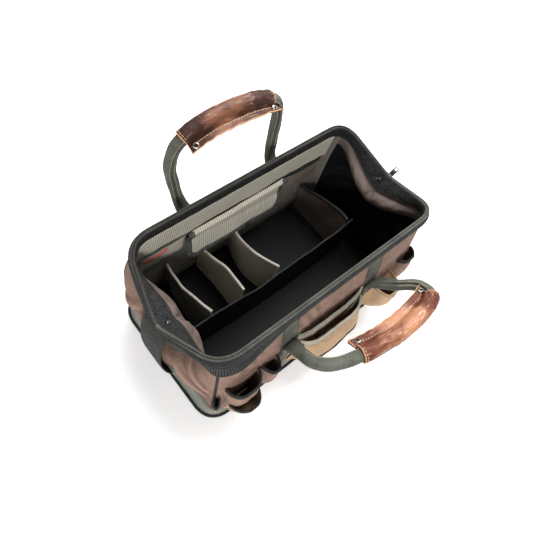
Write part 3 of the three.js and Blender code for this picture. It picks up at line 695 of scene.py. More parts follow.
class Shape:
    """Corners and faces of one piece, gathered body by body before its mesh is made."""

    def __init__(self):
        self.corners = []
        self.groups = []
        self.count = 0

    def add(self, corners, groups):
        """One closed body. groups: (faces, flat coordinates of their corners, finish number)."""
        corners = corners.reshape(-1, 3)
        volume = 0
        for faces, _, _ in groups:
            first = corners[faces[:, 0]]
            for side in range(1, faces.shape[1] - 1):
                cross = np.cross(corners[faces[:, side]], corners[faces[:, side + 1]])
                volume += (first * cross).sum()
        turn = -1 if volume < 0 else 1
        for faces, flat, finish in groups:
            self.groups.append((faces[:, ::turn] + self.count, flat[:, ::turn], finish))
        self.corners.append(corners)
        self.count += len(corners)

    def cloth(self, face, behind, inside=0, rows_inside=None, flat=None):
        """A thin sheet between two grids of points. inside: finish of the hidden face."""
        rows, columns = face.shape[:2]
        index = np.arange(rows * columns).reshape(rows, columns)
        back = index + rows * columns
        flat = flat_grid(face) if flat is None else flat * MM
        faces, spots = grid_faces(index, flat)
        hidden, hidden_spots = grid_faces(back[:, ::-1], flat[:, ::-1])
        groups = [(faces, spots, 0)]
        if rows_inside is None:
            groups.append((hidden, hidden_spots, inside))
        else:
            pick = np.tile(rows_inside[:-1][::-1], rows - 1)
            for finish in np.unique(rows_inside):
                chosen = pick == finish
                groups.append((hidden[chosen], hidden_spots[chosen], int(finish)))
        rim = np.concatenate([index[:, 0], index[-1, 1:], index[-2::-1, -1], index[0, -2:0:-1]])
        edge = np.stack([rim, np.roll(rim, -1)], -1)
        edges = np.concatenate([edge[:, ::-1], edge + rows * columns], -1)
        spots = flat.reshape(-1, 2)[edges % (rows * columns)]
        groups.append((edges, spots, 0))
        self.add(np.concatenate([face.reshape(-1, 3), behind.reshape(-1, 3)]), groups)

    def sweep(self, path, side, up, section, finish=0, closed=False, cap=0, lean=0):
        """A closed outline carried along a path. section: one outline, or one for each station. finish: one
        number, or one for each side of the outline. lean: a shift of every corner."""
        section = np.broadcast_to(section, (len(path),) + np.shape(section)[-2:])
        corners = path[:, None] + side[:, None] * section[..., :1] + up[:, None] * section[..., 1:] + lean
        stations, points = corners.shape[:2]
        index = np.arange(stations * points).reshape(stations, points)
        ring, loop = looped(corners, 1), looped(index, 1)
        if closed:
            ring, loop = looped(ring, 0), looped(loop, 0)
        faces, spots = grid_faces(loop, flat_grid(ring))
        kinds = np.broadcast_to(finish, (len(loop) - 1, points)).ravel()
        groups = [(faces[kinds == kind], spots[kinds == kind], int(kind)) for kind in np.unique(kinds)]
        if not closed:
            half = np.arange(points // 2 - 1)
            far = points - 1 - half
            ladder = np.stack([half, half + 1, far - 1, far], -1)
            ends = np.concatenate([ladder, ladder[:, ::-1] + (stations - 1) * points])
            cap_spots = np.concatenate([section[0][ladder], section[-1][ladder[:, ::-1]]]) * MM
            groups.append((ends, cap_spots, cap))
        self.add(corners, groups)

    def copies(self, pattern, places, x, y, z, finish=0):
        """The same small body at many places. x, y and z: its axes at each."""
        corners, quads, caps = pattern
        spread = corners[None, :, :1] * x[:, None] + corners[None, :, 1:2] * y[:, None]
        spread = places[:, None] + spread + corners[None, :, 2:] * z[:, None]
        shift = (np.arange(len(places)) * len(corners))[:, None, None]
        groups = []
        for faces in (quads, caps):
            many = (faces[None] + shift).reshape(-1, faces.shape[1])
            spots = np.tile(corners[faces][..., :2] * MM, (len(places), 1, 1))
            groups.append((many, spots, finish))
        self.add(spread, groups)

    def make(self, name, *finishes, sharp=48):
        mesh = bpy.data.meshes.new(name)
        corners = np.concatenate(self.corners) * MM
        mesh.vertices.add(len(corners))
        mesh.vertices.foreach_set("co", corners.ravel())
        numbers = np.concatenate([faces.ravel() for faces, _, _ in self.groups])
        sizes = np.concatenate([np.full(len(faces), faces.shape[1]) for faces, _, _ in self.groups])
        kinds = np.concatenate([np.full(len(faces), finish) for faces, _, finish in self.groups])
        mesh.loops.add(len(numbers))
        mesh.loops.foreach_set("vertex_index", numbers.astype(np.int32))
        mesh.polygons.add(len(sizes))
        starts = np.concatenate([[0], np.cumsum(sizes)[:-1]])
        mesh.polygons.foreach_set("loop_start", starts.astype(np.int32))
        mesh.polygons.foreach_set("material_index", kinds.astype(np.int32))
        flat = mesh.uv_layers.new(name="cloth")
        spots = np.concatenate([spots.reshape(-1, 2) for _, spots, _ in self.groups])
        flat.data.foreach_set("uv", spots.ravel().astype(np.float32))
        mesh.update(calc_edges=True)
        mesh.validate()
        mesh.shade_smooth()
        mesh.set_sharp_from_angle(angle=math.radians(sharp))
        for finish in finishes:
            mesh.materials.append(finish)
        piece = bpy.data.objects.new(name, mesh)
        bpy.context.scene.collection.objects.link(piece)
        return piece


def dress(piece, slot, *nodes):
    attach(piece, "root")
    if nodes:
        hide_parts(*nodes)
    return piece


def rounded(width, tall, sides=16, square=3.2):
    """Outline of a strip with rounded edges."""
    x, y = boxed(turns_of(sides, 0.5), 2 / square)
    return np.stack([x * width / 2, y * tall / 2], -1)


def capsule(long, wide, tall, sides=5, ends=0.45):
    """A small thread or tooth that lies along x, with ends that narrow."""
    turn = turns_of(sides)
    rings = ((-1, ends), (-0.62, 1), (0.62, 1), (1, ends))
    corners = []
    for place, scale in rings:
        y = np.cos(turn) * wide / 2 * scale
        z = np.sin(turn) * tall / 2 * scale
        corners.append(np.stack([np.full(sides, place * long / 2), y, z], -1))
    index = np.arange(len(rings) * sides).reshape(len(rings), sides)
    quads = quads_of(looped(index, 1)[..., None])[..., 0].reshape(-1, 4)[:, ::-1]
    caps = np.stack([index[0], index[-1][::-1]])[:, ::-1]
    return np.concatenate(corners), quads, caps


def along_path(points, normals, pitch):
    """Evenly spaced places on a path, with its direction and normal there."""
    run = run_along(points)
    count = max(2, int(run[-1] / pitch))
    want = (np.arange(count) + 0.5) * run[-1] / count
    forward = unit(between(points, run, want + 0.5) - between(points, run, want - 0.5))
    rise = square_to(unit(between(normals, run, want)), forward)
    return between(points, run, want), forward, rise


def stitches(name, finish, slot, lanes, size=1.0):
    """All the stitches of one piece. lanes: points and normals along each row."""
    radius = STITCH["radius"] * size
    thread_run = capsule(STITCH["long"] * size, radius * 2, radius * 2)
    sewn = Shape()
    for points, normals in lanes:
        places, forward, rise = along_path(points, normals, STITCH["pitch"] * size)
        sewn.copies(thread_run, places + rise * radius * 0.3, forward, np.cross(rise, forward), rise)
    dress(sewn.make(name + "_stitches", finish), slot)


def on_face(face, u, v):
    """Points of a face with its outward normals, for sewing on it."""
    u, v = np.broadcast_arrays(np.asarray(u, float), np.asarray(v, float))
    step = 0.5
    along = face(u + step, v) - face(u - step, v)
    up = face(u, v + step) - face(u, v - step)
    return face(u, v), unit(np.cross(along, up))


def bind_edge(shape, face, u, v, width, tall):
    """A folded tape over the upper edge of a cloth. The path runs along the edge."""
    points, normals = on_face(face, u, v)
    forward = unit(np.gradient(points, axis=0))
    normals = square_to(normals, forward)
    into = unit(np.cross(normals, forward))
    middle = points - normals * PANEL / 2 + into * (EDGE_COVER - tall / 2)
    shape.sweep(middle, normals, into, rounded(width, tall))


# Materials

def colour(code):
    """Linear colour of a six digit hex code."""
    parts = [int(code[i:i + 2], 16) / 255 for i in (0, 2, 4)]
    return tuple(((part + 0.055) / 1.055) ** 2.4 for part in parts) + (1.0,)


class Wire:
    """A value on its way through a material. Sums and products of wires add Math nodes."""

    def __init__(self, finish, socket):
        self.finish = finish
        self.socket = socket

    def maths(self, operation, first, second=0.0):
        return self.finish.node("Math", {"operation": operation}, {0: first, 1: second})

    def __add__(self, other):
        return self.maths("ADD", self, other)

    def __radd__(self, other):
        return self.maths("ADD", other, self)

    def __sub__(self, other):
        return self.maths("SUBTRACT", self, other)

    def __rsub__(self, other):
        return self.maths("SUBTRACT", other, self)

    def __mul__(self, other):
        return self.maths("MULTIPLY", self, other)

    def __rmul__(self, other):
        return self.maths("MULTIPLY", other, self)

    def __truediv__(self, other):
        return self.maths("DIVIDE", self, other)

    def sine(self):
        return self.maths("SINE", self)

    def size(self):
        return self.maths("ABSOLUTE", self)

    def from_to(self, low, high, first=0.0, last=1.0):
        sockets = {"Value": self, "From Min": low, "From Max": high, "To Min": first, "To Max": last}
        return self.finish.node("MapRange", {"interpolation_type": "SMOOTHSTEP"}, sockets)


CLOTH_SHINE = 0.18
PAINTED_CREST_HIGHLIGHT = 15  # how much paler the cloth is painted along the crests of its folds: a painted highlight


class Finish:
    """One material: its nodes, and the few patterns that several finishes share."""

    def __init__(self, name, roughness=0.8, **constants):
        self.material = bpy.data.materials.new(name)
        self.material.use_nodes = True
        self.tree = self.material.node_tree
        self.shader = self.tree.nodes["Principled BSDF"]
        self.set("Roughness", roughness)
        self.set("Specular IOR Level", CLOTH_SHINE)
        for socket, value in constants.items():
            self.set(socket.replace("_", " "), value)
        self.spot = self.node("TexCoord", output="Object")
        self.flat = self.node("UVMap", {"uv_map": "cloth"})
        self.across = self.node("SeparateXYZ", {}, {0: self.flat}, "X")
        self.along = self.node("SeparateXYZ", {}, {0: self.flat}, "Y")

    def plug(self, socket, value):
        if isinstance(value, Wire):
            self.tree.links.new(value.socket, socket)
        else:
            socket.default_value = value

    def set(self, socket, value):
        self.plug(self.shader.inputs[socket], value)

    def node(self, kind, settings=None, sockets=None, output=0):
        node = self.tree.nodes.new("ShaderNode" + kind)
        for key, value in (settings or {}).items():
            setattr(node, key, value)
        for key, value in (sockets or {}).items():
            self.plug(node.inputs[key], value)
        return Wire(self, node.outputs[output])

    def noise(self, scale, detail=3.0, rough=0.55, where=None):
        sockets = {"Vector": where or self.spot, "Scale": scale, "Detail": detail, "Roughness": rough}
        return self.node("TexNoise", {}, sockets)

    def cells(self, scale, feature="F1"):
        return self.node("TexVoronoi", {"feature": feature}, {"Vector": self.spot, "Scale": scale})

    def stretched(self, across, along):
        """Cloth coordinates drawn out, for threads and grain that run one way."""
        return self.node("VectorMath", {"operation": "MULTIPLY"}, {0: self.flat, 1: (across, along, 1.0)})

    def crossed(self, short, long, detail, rough):
        """Uneven streaks along both ways of a weave."""
        one_way = self.noise(1.0, detail, rough, self.stretched(short, long))
        return one_way + self.noise(1.0, detail, rough, self.stretched(long, short))

    def wave(self, value, pitch, shift=0.0):
        """A sine with one turn for each pitch, in metres."""
        return (value * (2 * math.pi / pitch) + shift).sine()

    def mix(self, share, first, second):
        return self.node("Mix", {"data_type": "RGBA"}, {0: share, 6: first, 7: second}, 2)

    def relief(self, height, strength=0.5, distance=0.0004):
        sockets = {"Height": height, "Strength": strength, "Distance": distance}
        self.set("Normal", self.node("Bump", {}, sockets))


def woven(name, light, dark, thread=0.0011, mottle=34, contrast=0.5, relief=0.5, **constants):
    """Plain woven cloth: crossing threads, uneven yarn and soft stains, painted paler along the crests of its
    folds as a painted highlight.
    """
    cloth = Finish(name, **constants)
    over = cloth.wave(cloth.across, thread) * cloth.wave(cloth.along, thread)
    yarn = cloth.crossed(260, 1500, 2, 0.6)
    stain = cloth.noise(mottle, 4, 0.6)
    slub = cloth.crossed(150, 620, 3, 0.65)
    share = 0.5 + (stain - 0.5) * 0.8 * contrast + (yarn - 1.0) * contrast + (slub - 1.0) * 1.2 * contrast
    # Pointiness paints the crests of the folds paler: a painted highlight.
    crest = cloth.node("NewGeometry", output="Pointiness")
    share = share + over * 0.2 * contrast + (crest - 0.5) * PAINTED_CREST_HIGHLIGHT
    cloth.set("Base Color", cloth.mix(share.from_to(0, 1), colour(dark), colour(light)))
    cloth.set("Roughness", 0.95 - 0.22 * stain)
    cloth.relief(over * 0.5 + yarn, relief)
    return cloth.material


def satin(name, light, dark, **constants):
    """Smooth lining with a soft shine and fine creases, its colour painted darker in the hollows of the
    creases and paler on their ridges.
    """
    cloth = Finish(name, **constants)
    crease = cloth.noise(30, 5, 0.6)
    thread = cloth.wave(cloth.across, 0.0006) * cloth.wave(cloth.along, 0.0006)
    # The colour follows the crease relief: painted shade in its hollows and painted highlight on its ridges.
    cloth.set("Base Color", cloth.mix(crease.from_to(0.0, 1.0), colour(dark), colour(light)))
    cloth.set("Roughness", 0.36 + 0.2 * cloth.noise(20, 3))
    cloth.relief(crease * 0.8 + thread * 0.12, 0.3, 0.0016)
    return cloth.material


def ribbed(name, light, dark):
    """Lining with upright ribs, painted darker between them as painted shade in the grooves."""
    cloth = Finish(name)
    # Stripes at the pitch of the ribs: painted shade between the ribs.
    rib = 0.5 - 0.5 * cloth.wave(cloth.across, RIB_PITCH * MM, math.pi / 2)
    thread = cloth.wave(cloth.along, 0.0013)
    stain = cloth.noise(22, 4, 0.6)
    share = rib * 0.8 + (stain - 0.5) * 0.3 + thread * 0.07
    cloth.set("Base Color", cloth.mix(share.from_to(-0.1, 0.7), colour(dark), colour(light)))
    cloth.set("Roughness", 0.95 - 0.2 * stain)
    cloth.relief(thread * 0.4 + cloth.noise(900, 2) * 0.6, 0.4)
    return cloth.material


def webbing(name, light, dark, pitch=0.0022, twill=0.5):
    """Heavy woven tape: ridges across it, broken into slanting rows."""
    tape = Finish(name)
    row = tape.wave(tape.across * twill + tape.along, pitch)
    cross = tape.wave(tape.across - tape.along * twill, pitch)
    weave = row * cross
    stain = tape.noise(40, 4, 0.6)
    fleck = tape.noise(1.0, 2, 0.5, tape.stretched(900, 420))
    share = 0.5 + weave * 0.16 + (stain - 0.5) * 0.8 + (fleck - 0.5) * 0.9
    tape.set("Base Color", tape.mix(share.from_to(0, 1), colour(dark), colour(light)))
    tape.set("Roughness", 0.88 - 0.2 * stain)
    tape.relief(weave * 0.6 + fleck, 0.6, 0.0005)
    return tape.material


def mesh_cloth(name, light, dark):
    """Spacer mesh: small round holes in a dark knit, with a few bright fibres."""
    knit = Finish(name)
    hole = knit.wave(knit.across, 0.0028) * knit.wave(knit.along, 0.0028)
    fibre = knit.noise(420, 3, 0.75)
    stain = knit.noise(45, 4, 0.6)
    share = hole * 0.22 + (fibre - 0.5) * 2.2 + (stain - 0.5) * 0.5 + 0.42
    knit.set("Base Color", knit.mix(share.from_to(0.1, 1.0), colour(dark), colour(light)))
    knit.set("Roughness", 0.9 - 0.2 * fibre)
    knit.relief(hole.size() + fibre, 0.6, 0.0006)
    return knit.material


def leather(name, light, dark, worn, middle_highlight):
    """Oiled leather: pebbled grain, dark patches, rubbed places and a painted highlight along its middle.
    dust: how much paler the middle is painted.
    """
    hide = Finish(name, Specular_IOR_Level=0.28, Coat_Roughness=0.25)
    grain = hide.cells(620, "DISTANCE_TO_EDGE")
    patch = hide.noise(13, 5, 0.6)
    streak = hide.noise(1.0, 4, 0.6, hide.stretched(26, 90))
    scuff = hide.noise(1.0, 5, 0.7, hide.stretched(70, 260))
    # A painted highlight along the middle of the grip and painted shade towards its ends, mixed into its
    # patches and streaks.
    middle = ((hide.across / (GRIP_LENGTH * MM) - 0.5) * 2.2).size().from_to(0, 1, 1, 0)
    rubbed_and_highlight = (patch * 0.65 + streak * 0.35 + (middle - 0.5) * middle_highlight).from_to(0.40, 0.64)
    body = hide.mix(rubbed_and_highlight, colour(dark), colour(light))
    pale = (scuff * 0.55 + streak * 0.45).from_to(0.53, 0.68) * 0.75
    body = hide.mix(pale, body, colour(worn))
    pore = grain.from_to(0.0, 0.12)
    hide.set("Base Color", hide.mix(0.72 + 0.28 * pore, colour(dark), body))
    hide.set("Roughness", 0.34 + 0.3 * patch + 0.12 * (1 - pore))
    hide.set("Coat Weight", 0.16 * rubbed_and_highlight)
    hide.relief(pore * 0.8 + scuff * 0.7 + patch * 1.2, 0.4, 0.0007)
    return hide.material


def metal(name, tone, dark, rough):
    """Plated metal with fine scratches and dull patches."""
    plate = Finish(name, Metallic=1.0)
    scratch = plate.noise(1.0, 3, 0.7, plate.stretched(3000, 160))
    dull = plate.noise(240, 3)
    plate.set("Base Color", plate.mix(dull.from_to(0.35, 0.7), colour(dark), colour(tone)))
    plate.set("Roughness", rough + 0.16 * scratch + 0.12 * dull)
    plate.relief(scratch, 0.12, 0.0001)
    return plate.material


def thread(name, tone, dark):
    """Sewing thread with a twist."""
    yarn = Finish(name)
    twist = yarn.wave(yarn.across + yarn.along, 0.0009)
    shade = yarn.noise(70, 2)
    share = 0.5 + 0.3 * twist + (shade - 0.5)
    yarn.set("Base Color", yarn.mix(share.from_to(0, 1), colour(dark), colour(tone)))
    yarn.set("Roughness", 0.6 + 0.15 * shade)
    yarn.relief(twist, 0.4, 0.0002)
    return yarn.material


def board(name, light, dark, **constants):
    """Stiff moulded board with a fine pebble."""
    sheet = Finish(name, **constants)
    pebble = sheet.cells(420)
    stain = sheet.noise(30, 4, 0.6)
    sheet.set("Base Color", sheet.mix(stain.from_to(0.3, 0.75), colour(dark), colour(light)))
    sheet.set("Roughness", 0.55 + 0.25 * stain)
    sheet.relief(pebble, 0.4, 0.0005)
    return sheet.material


BROWN = woven("brown_canvas", "987d6f", "604a3f", contrast=0.55)
TAN = woven("tan_canvas", "bd9f80", "7d6249", contrast=0.5)
RIBBED = ribbed("ribbed_lining", "d2ccbd", "969184")
TAUPE = satin("taupe_lining", "756760", "473b35", Specular_IOR_Level=0.36)
# A lighter copy of the taupe lining for the inner pocket: painted light where that pocket lies in shade.
POCKET_LINING_PAINTED_LIGHTER = satin("taupe_pocket_painted_lighter", "9a8b80", "66584f", Specular_IOR_Level=0.3)
GREY_LINING = woven("grey_lining", "8f8a7f", "5b574f", 0.0012, 30, 0.5)
DIVIDER_CLOTH = woven("divider_lining", "b0aa9e", "7d776d", 0.0012, 30, 0.5)
# Black lining; inside the front wall and low inside the ends it is a dark sheet that stands as painted shade
# for the deep inside.
BLACK_LINING_AND_SHADE = satin("black_lining", "1a1b1b", "0b0c0c", Specular_IOR_Level=0.2)
MESH = mesh_cloth("black_mesh", "3c3d3c", "0b0b0b")
BLACK_TAPE = webbing("black_binding", "343635", "151616", 0.0016)
GREY_TAPE = webbing("grey_binding", "b5b0a0", "7b776a", 0.0016)
# The same rim tape twice: painted lighter at the front as a painted highlight, and darker at the back as
# painted shade.
RIM_TAPES_LIT_AND_SHADED = {
    "front": webbing("front_rim_binding_painted_lighter", "605f59", "2d2c2a", 0.0016),
    "back": webbing("back_rim_binding_painted_darker", "474642", "21201f", 0.0016),
}
DIVIDER_TAPE = webbing("divider_binding", "bdb8ac", "87837a", 0.0016)
TAN_TAPE = webbing("tan_binding", "b39a7b", "7f6a50", 0.0016)
DARK_TAPE = webbing("dark_grey_binding", "61645f", "343735", 0.0016)
BAND = webbing("grey_webbing", "9a9c92", "6a6c64", 0.0024)
STRAP = webbing("dark_grey_webbing", "3f413d", "1b1d1b", 0.0024)
ROLLED = webbing("handle_webbing", "6b6c63", "383931", 0.0024)
ZIP_TAPE = webbing("zip_tape", "3c3e3d", "1d1e1e", 0.0012)
ZIP_COIL = board("zip_coil", "4e504d", "2b2d2b")
PIPING = webbing("black_piping", "3a3d3c", "191b1b", 0.0018)
BASE = board("black_base", "161717", "0a0b0b", Specular_IOR_Level=0.15)
# The last number of each leather is how much paler its middle is painted: a painted highlight.
HIDE_FRONT = leather("front_leather", "b07a58", "5a2a18", "ead4c2", 0.17)
HIDE_BACK = leather("back_leather", "7a4d35", "30150a", "bb9a82", 0.17)
RAW_EDGE = woven("raw_leather_edge", "ba906c", "84583a", 0.0006, 120, 0.5, 0.4)
STEEL = metal("steel", "757571", "363635", 0.2)
SNAP_RING = metal("snap_metal", "c9c0b2", "8d8377", 0.22)
SNAP_CUP = metal("snap_cup", "3a3835", "1d1c1b", 0.3)
RED = woven("red_strip", "f0756b", "cc4a43", 0.0007, 90, 0.5, 0.4)
PALE_THREAD = thread("pale_thread", "c6bfae", "8d8779")
DARK_THREAD = thread("dark_thread", "55564f", "2d2e2b")
HIDE_THREAD = thread("leather_thread", "e0b98f", "a67850")

CLOTHS = {"brown": BROWN, "tan": TAN, "ribbed": RIBBED, "taupe": POCKET_LINING_PAINTED_LIGHTER}
TRIMS = {"grey": GREY_TAPE, "black": BLACK_TAPE, "tan": TAN_TAPE, "thin": DARK_TAPE}
SLOTS = {"brown": "brown_canvas", "tan": "tan_canvas", "ribbed": "ribbed_lining", "taupe": "taupe_lining"}


def cut_of(face):
    """Flat width and length of a cloth, in metres, with its flat area."""
    across = np.linalg.norm(np.diff(face, axis=0), axis=-1).sum(0).max()
    up = np.linalg.norm(np.diff(face, axis=1), axis=-1).sum(1).max()
    one = np.cross(face[1:, :-1] - face[:-1, :-1], face[:-1, 1:] - face[:-1, :-1])
    two = np.cross(face[1:, :-1] - face[1:, 1:], face[:-1, 1:] - face[1:, 1:])
    area = (np.linalg.norm(one, axis=-1).sum() + np.linalg.norm(two, axis=-1).sum()) / 2
    return (across * MM, up * MM), area * MM * MM


def cloth_piece(name, face, thick, finishes, slot, node, held, rests_on, plain=None, **inside):
    """A thin cloth behind a grid of points. plain: the same grid without its ribs."""
    plain = face if plain is None else plain
    shape = Shape()
    shape.cloth(face, plain - face_normals(plain) * thick, **inside)
    piece = dress(shape.make(name, *finishes), slot, node)
    flat, area = cut_of(face)
    min(area, flat[0] * flat[1])
    return piece


def spread(start, end, count, edge=0.0):
    """Even shares with closer ones near both ends."""
    share = np.linspace(0, 1, count)
    share = lerp(share, 0.5 - 0.5 * np.cos(math.pi * share), edge)
    return lerp(start, end, share)


def grid(us, vs):
    return np.meshgrid(us, vs, indexing="ij")


# Walls

def build_walls():
    top = 1 + HIDDEN_TOP / (RIM_HEIGHT - SLEEVE_TALL - FLOOR)
    columns, rows = WALL_LINES
    rises = np.linspace(0, top, rows)
    # The black inside of the front wall is a painted shade; the back wall has its grey lining.
    for name, start, lining in (("front", 0, BLACK_LINING_AND_SHADE), ("back", 3, GREY_LINING)):
        face = wall_face(*grid(spread(start, start + 1, columns, 0.4), rises))
        cloth_piece(name + "_wall_cloth", face, WALL, (BROWN, lining), "brown_canvas", name + "_wall",
                    "stretched", ["base_panel", "rim_" + name], inside=1)
    columns, rows, fold_rows = END_LINES
    rises = np.concatenate([np.linspace(0, FOLD_RISE, rows), np.linspace(FOLD_RISE, top, fold_rows)[1:]])
    # Inside each end: taupe lining above LINING_RISE, and black lining below it as painted shade.
    lining = np.where(rises > LINING_RISE, 1, 2)
    for name, start in (("right", 1), ("left", 4)):
        face = wall_face(*grid(spread(start, start + 2, columns, 0.4), rises))
        cloth_piece(name + "_end_cloth", face, WALL, (BROWN, TAUPE, BLACK_LINING_AND_SHADE), "brown_canvas",
                    name + "_end", "folded", ["base_panel", "rim_front", "rim_back"], rows_inside=lining)
    seams = Shape()
    for corner in (0, 1, 3, 4):
        place = np.full(LANE, corner + JUST_PAST)
        path = wall_face(place, np.linspace(rise_of(BAND_TALL - 6), 1.01, LANE))
        upward = unit(np.gradient(path, axis=0))
        side = unit(np.cross(upward, outward_at(place)))
        seams.sweep(path, side, np.cross(side, upward), rounded(CORNER_SEAM["wide"], CORNER_SEAM["proud"]))
    dress(seams.make("corner_seams", BLACK_TAPE), "black_trim")


# Base

def build_base():
    places = np.linspace(0, LOOP, BASE_STATIONS, endpoint=False)
    outward = outward_at(places)
    low, high = PIPING_RADIUS * 2 + SEAT, BAND_TALL
    middle = wall_point(places, rise_of((low + high) / 2), taut=True) + outward * (SEAT * 2 + BAND_THICK / 2)
    lean = unit(wall_point(places, rise_of(high), taut=True) - wall_point(places, rise_of(low), taut=True))
    band = Shape()
    band.sweep(middle, outward, lean, rounded(BAND_THICK, high - low, 20, 6), closed=True)
    piece = dress(band.make("base_band_tape", BAND), "grey_webbing", "base_band")
    float(arc(middle[:, None], 0)[-1]) * MM
    centre = base_loop(places) + outward * (PIPING_RADIUS + SEAT * 2)
    centre[:, 2] = PIPING_RADIUS + SEAT
    cord = Shape()
    section = rounded(PIPING_RADIUS * 2, PIPING_RADIUS * 2, 12, 2)
    cord.sweep(centre, outward, np.broadcast_to(UP, outward.shape), section, closed=True)
    piece = dress(cord.make("base_piping_cord", PIPING), "black_trim", "base_piping")
    rounds = [middle + lean * height + outward * BAND_THICK / 2 for height in (-BAND_LANE, BAND_LANE)]
    lanes = [(looped(line, 0), looped(outward, 0)) for line in rounds]
    stitches("base_band", DARK_THREAD, "grey_webbing", lanes)
    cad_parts["base_panel"].data.materials.clear()
    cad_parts["base_panel"].data.materials.append(BASE)


# Mouth

def sleeve_outline(tall):
    """Section of the padded sleeve: two piped ridges on top, sewn hems below. Out from the frame, then up."""
    hem = 5.5 - tall
    belly = -tall * 0.55
    outer_hem = [(-4.5, 0.2 - tall), (-1.6, -tall), (-0.1, 2 - tall), (0.15, 3.6 - tall), (-0.75, hem)]
    outer = [(0.2, hem + 2), (0.5, belly), (0.2, -7), (-0.4, -5.2)]
    outer_ridge = [(0.05, -3.4), (-0.6, -1.1), (-2.1, -0.2), (-3.6, -1.0), (-4.4, -3.4)]
    inner_ridge = [(-5.2, -1.0), (-6.7, 0), (-8.3, -0.8), (-9.1, -2.8)]
    inner = [(-8.7, -4.6), (-9.2, -6.5), (-9.5, belly), (-9.2, hem + 2)]
    inner_hem = [(-8.3, hem), (-9.1, 3.6 - tall), (-8.9, 1.6 - tall), (-7.4, -tall)]
    return np.array(outer_hem + outer + outer_ridge + inner_ridge + inner + inner_hem, float)


# Sides of the softened outline that are bound with tape
CROWN_SIDES = list(range(18, 36))
HEM_SIDES = list(range(0, 8)) + list(range(44, 52))


def softened(outline):
    """Closed outlines, one for every station, with their corners cut."""
    after = np.roll(outline, -1, axis=-2)
    pair = np.stack([lerp(outline, after, 0.25), lerp(outline, after, 0.75)], -2)
    return pair.reshape(outline.shape[:-2] + (-1, 2))


def build_sleeve(name, start, end):
    places = np.linspace(start + SEAT / HALF_END, end - SEAT / HALF_END, SLEEVE_STATIONS)
    path = rim_loop(places)
    outward = outward_at(places)
    talls = sleeve_tall(places)[:, None]
    outline = softened(np.stack([sleeve_outline(tall) for tall in talls[:, 0]]))
    run = run_along(path)[:, None]
    down = -outline[..., 1]
    hang = smooth(down, 5, 11) * (1 - smooth(down, talls - 9, talls))
    near_hinge = smooth(hinge_share(places), 0.55, 1)[:, None]
    crinkle = uneven("sleeve_crinkle", run + down * 0.5, down)
    bunch = uneven("sleeve_bunch", run, down * 0.4) * near_hinge
    side = np.where(outline[..., 0] > -SLEEVE_THICK / 2, 1, -1)
    outline[..., 0] += side * hang * (crinkle + bunch)
    tilt = arm_tilt(places)[:, None]
    out = outline[..., 0] + SLEEVE_PIVOT
    up = outline[..., 1] + SLEEVE_PIVOT
    leaning = np.stack([out * np.cos(tilt) + up * np.sin(tilt), up * np.cos(tilt) - out * np.sin(tilt)], -1)
    sides = np.zeros(outline.shape[1], int)
    sides[CROWN_SIDES] = 1
    sides[HEM_SIDES] = 2
    sleeve = Shape()
    sleeve.sweep(path, outward, np.broadcast_to(UP, path.shape), leaning - SLEEVE_PIVOT, sides, cap=1)
    piece = sleeve.make("rim_" + name + "_sleeve", MESH, RIM_TAPES_LIT_AND_SHADED[name], BLACK_TAPE, sharp=70)
    dress(piece, "black_trim", "rim_" + name)
    return places, path, outward


def build_zip(name, places, path, outward):
    depth = np.linspace(0, 1, ZIP_LINES["all"])[None, :]
    sway = 0.8 + uneven("zip_sway", run_along(path)[:, None], 0 * depth)
    clear = ZIP_FLARE * bump(places, 0.03, 0.17)[:, None]
    sewn = -ZIP_SUNK * (1 - smooth(depth, 0, 0.2))
    flare = sewn + depth ** 1.5 * np.clip(sway, 0.1, 2.2) + depth * clear
    point = path[:, None] + outward[:, None] * (SEAT + ZIP_PROUD + flare)[..., None]
    point = point - UP * (ZIP_TOP + ZIP_TALL * depth)[..., None]
    cloth_piece("zip_" + name + "_tape", point[:, ::-1], ZIP_THICK, (ZIP_TAPE,), "zip_tape", "zip_" + name,
                "hung", ["rim_" + name])
    above, middle, below = ZIP_LINES["coil"]
    slope = unit(point[:, below] - point[:, above])
    places, forward, rise = along_path(point[:, middle], square_to(outward, slope), TOOTH["pitch"])
    tooth = capsule(TOOTH["tall"], TOOTH["wide"], TOOTH["proud"] * 2, sides=6, ends=0.6)
    teeth = Shape()
    teeth.copies(tooth, places + rise * 0.2, unit(np.cross(forward, rise)), -forward, rise)
    dress(teeth.make("zip_" + name + "_coil", ZIP_COIL), "zip_tape")
    stitches("zip_" + name, DARK_THREAD, "zip_tape", [(point[:, ZIP_LINES["lane"]], outward)])


def lathe(shape, foot, direction, section, size, finish=0):
    """A turned body on a face. section: from the axis at the foot to the axis at the top."""
    across = unit(np.cross(direction, [0.31, 0.17, 0.93]))
    other = np.cross(direction, across)
    turn = turns_of(LATHE_SIDES)
    ring = np.cos(turn)[:, None] * across + np.sin(turn)[:, None] * other
    profile = np.array(section) * (size["radius"], size["tall"])
    profile[[0, -1], 0] = 0.02
    corners = foot + ring[:, None] * profile[None, :, :1] + direction * profile[None, :, 1:]
    index = np.arange(LATHE_SIDES * len(profile)).reshape(LATHE_SIDES, len(profile))
    faces, spots = grid_faces(looped(index, 0), flat_grid(looped(corners, 0)))
    caps = np.stack([index[::-1, 0], index[:, -1]])
    cap_spots = np.zeros(caps.shape + (2,))
    shape.add(corners, [(faces, spots, finish), (caps, cap_spots, finish)])


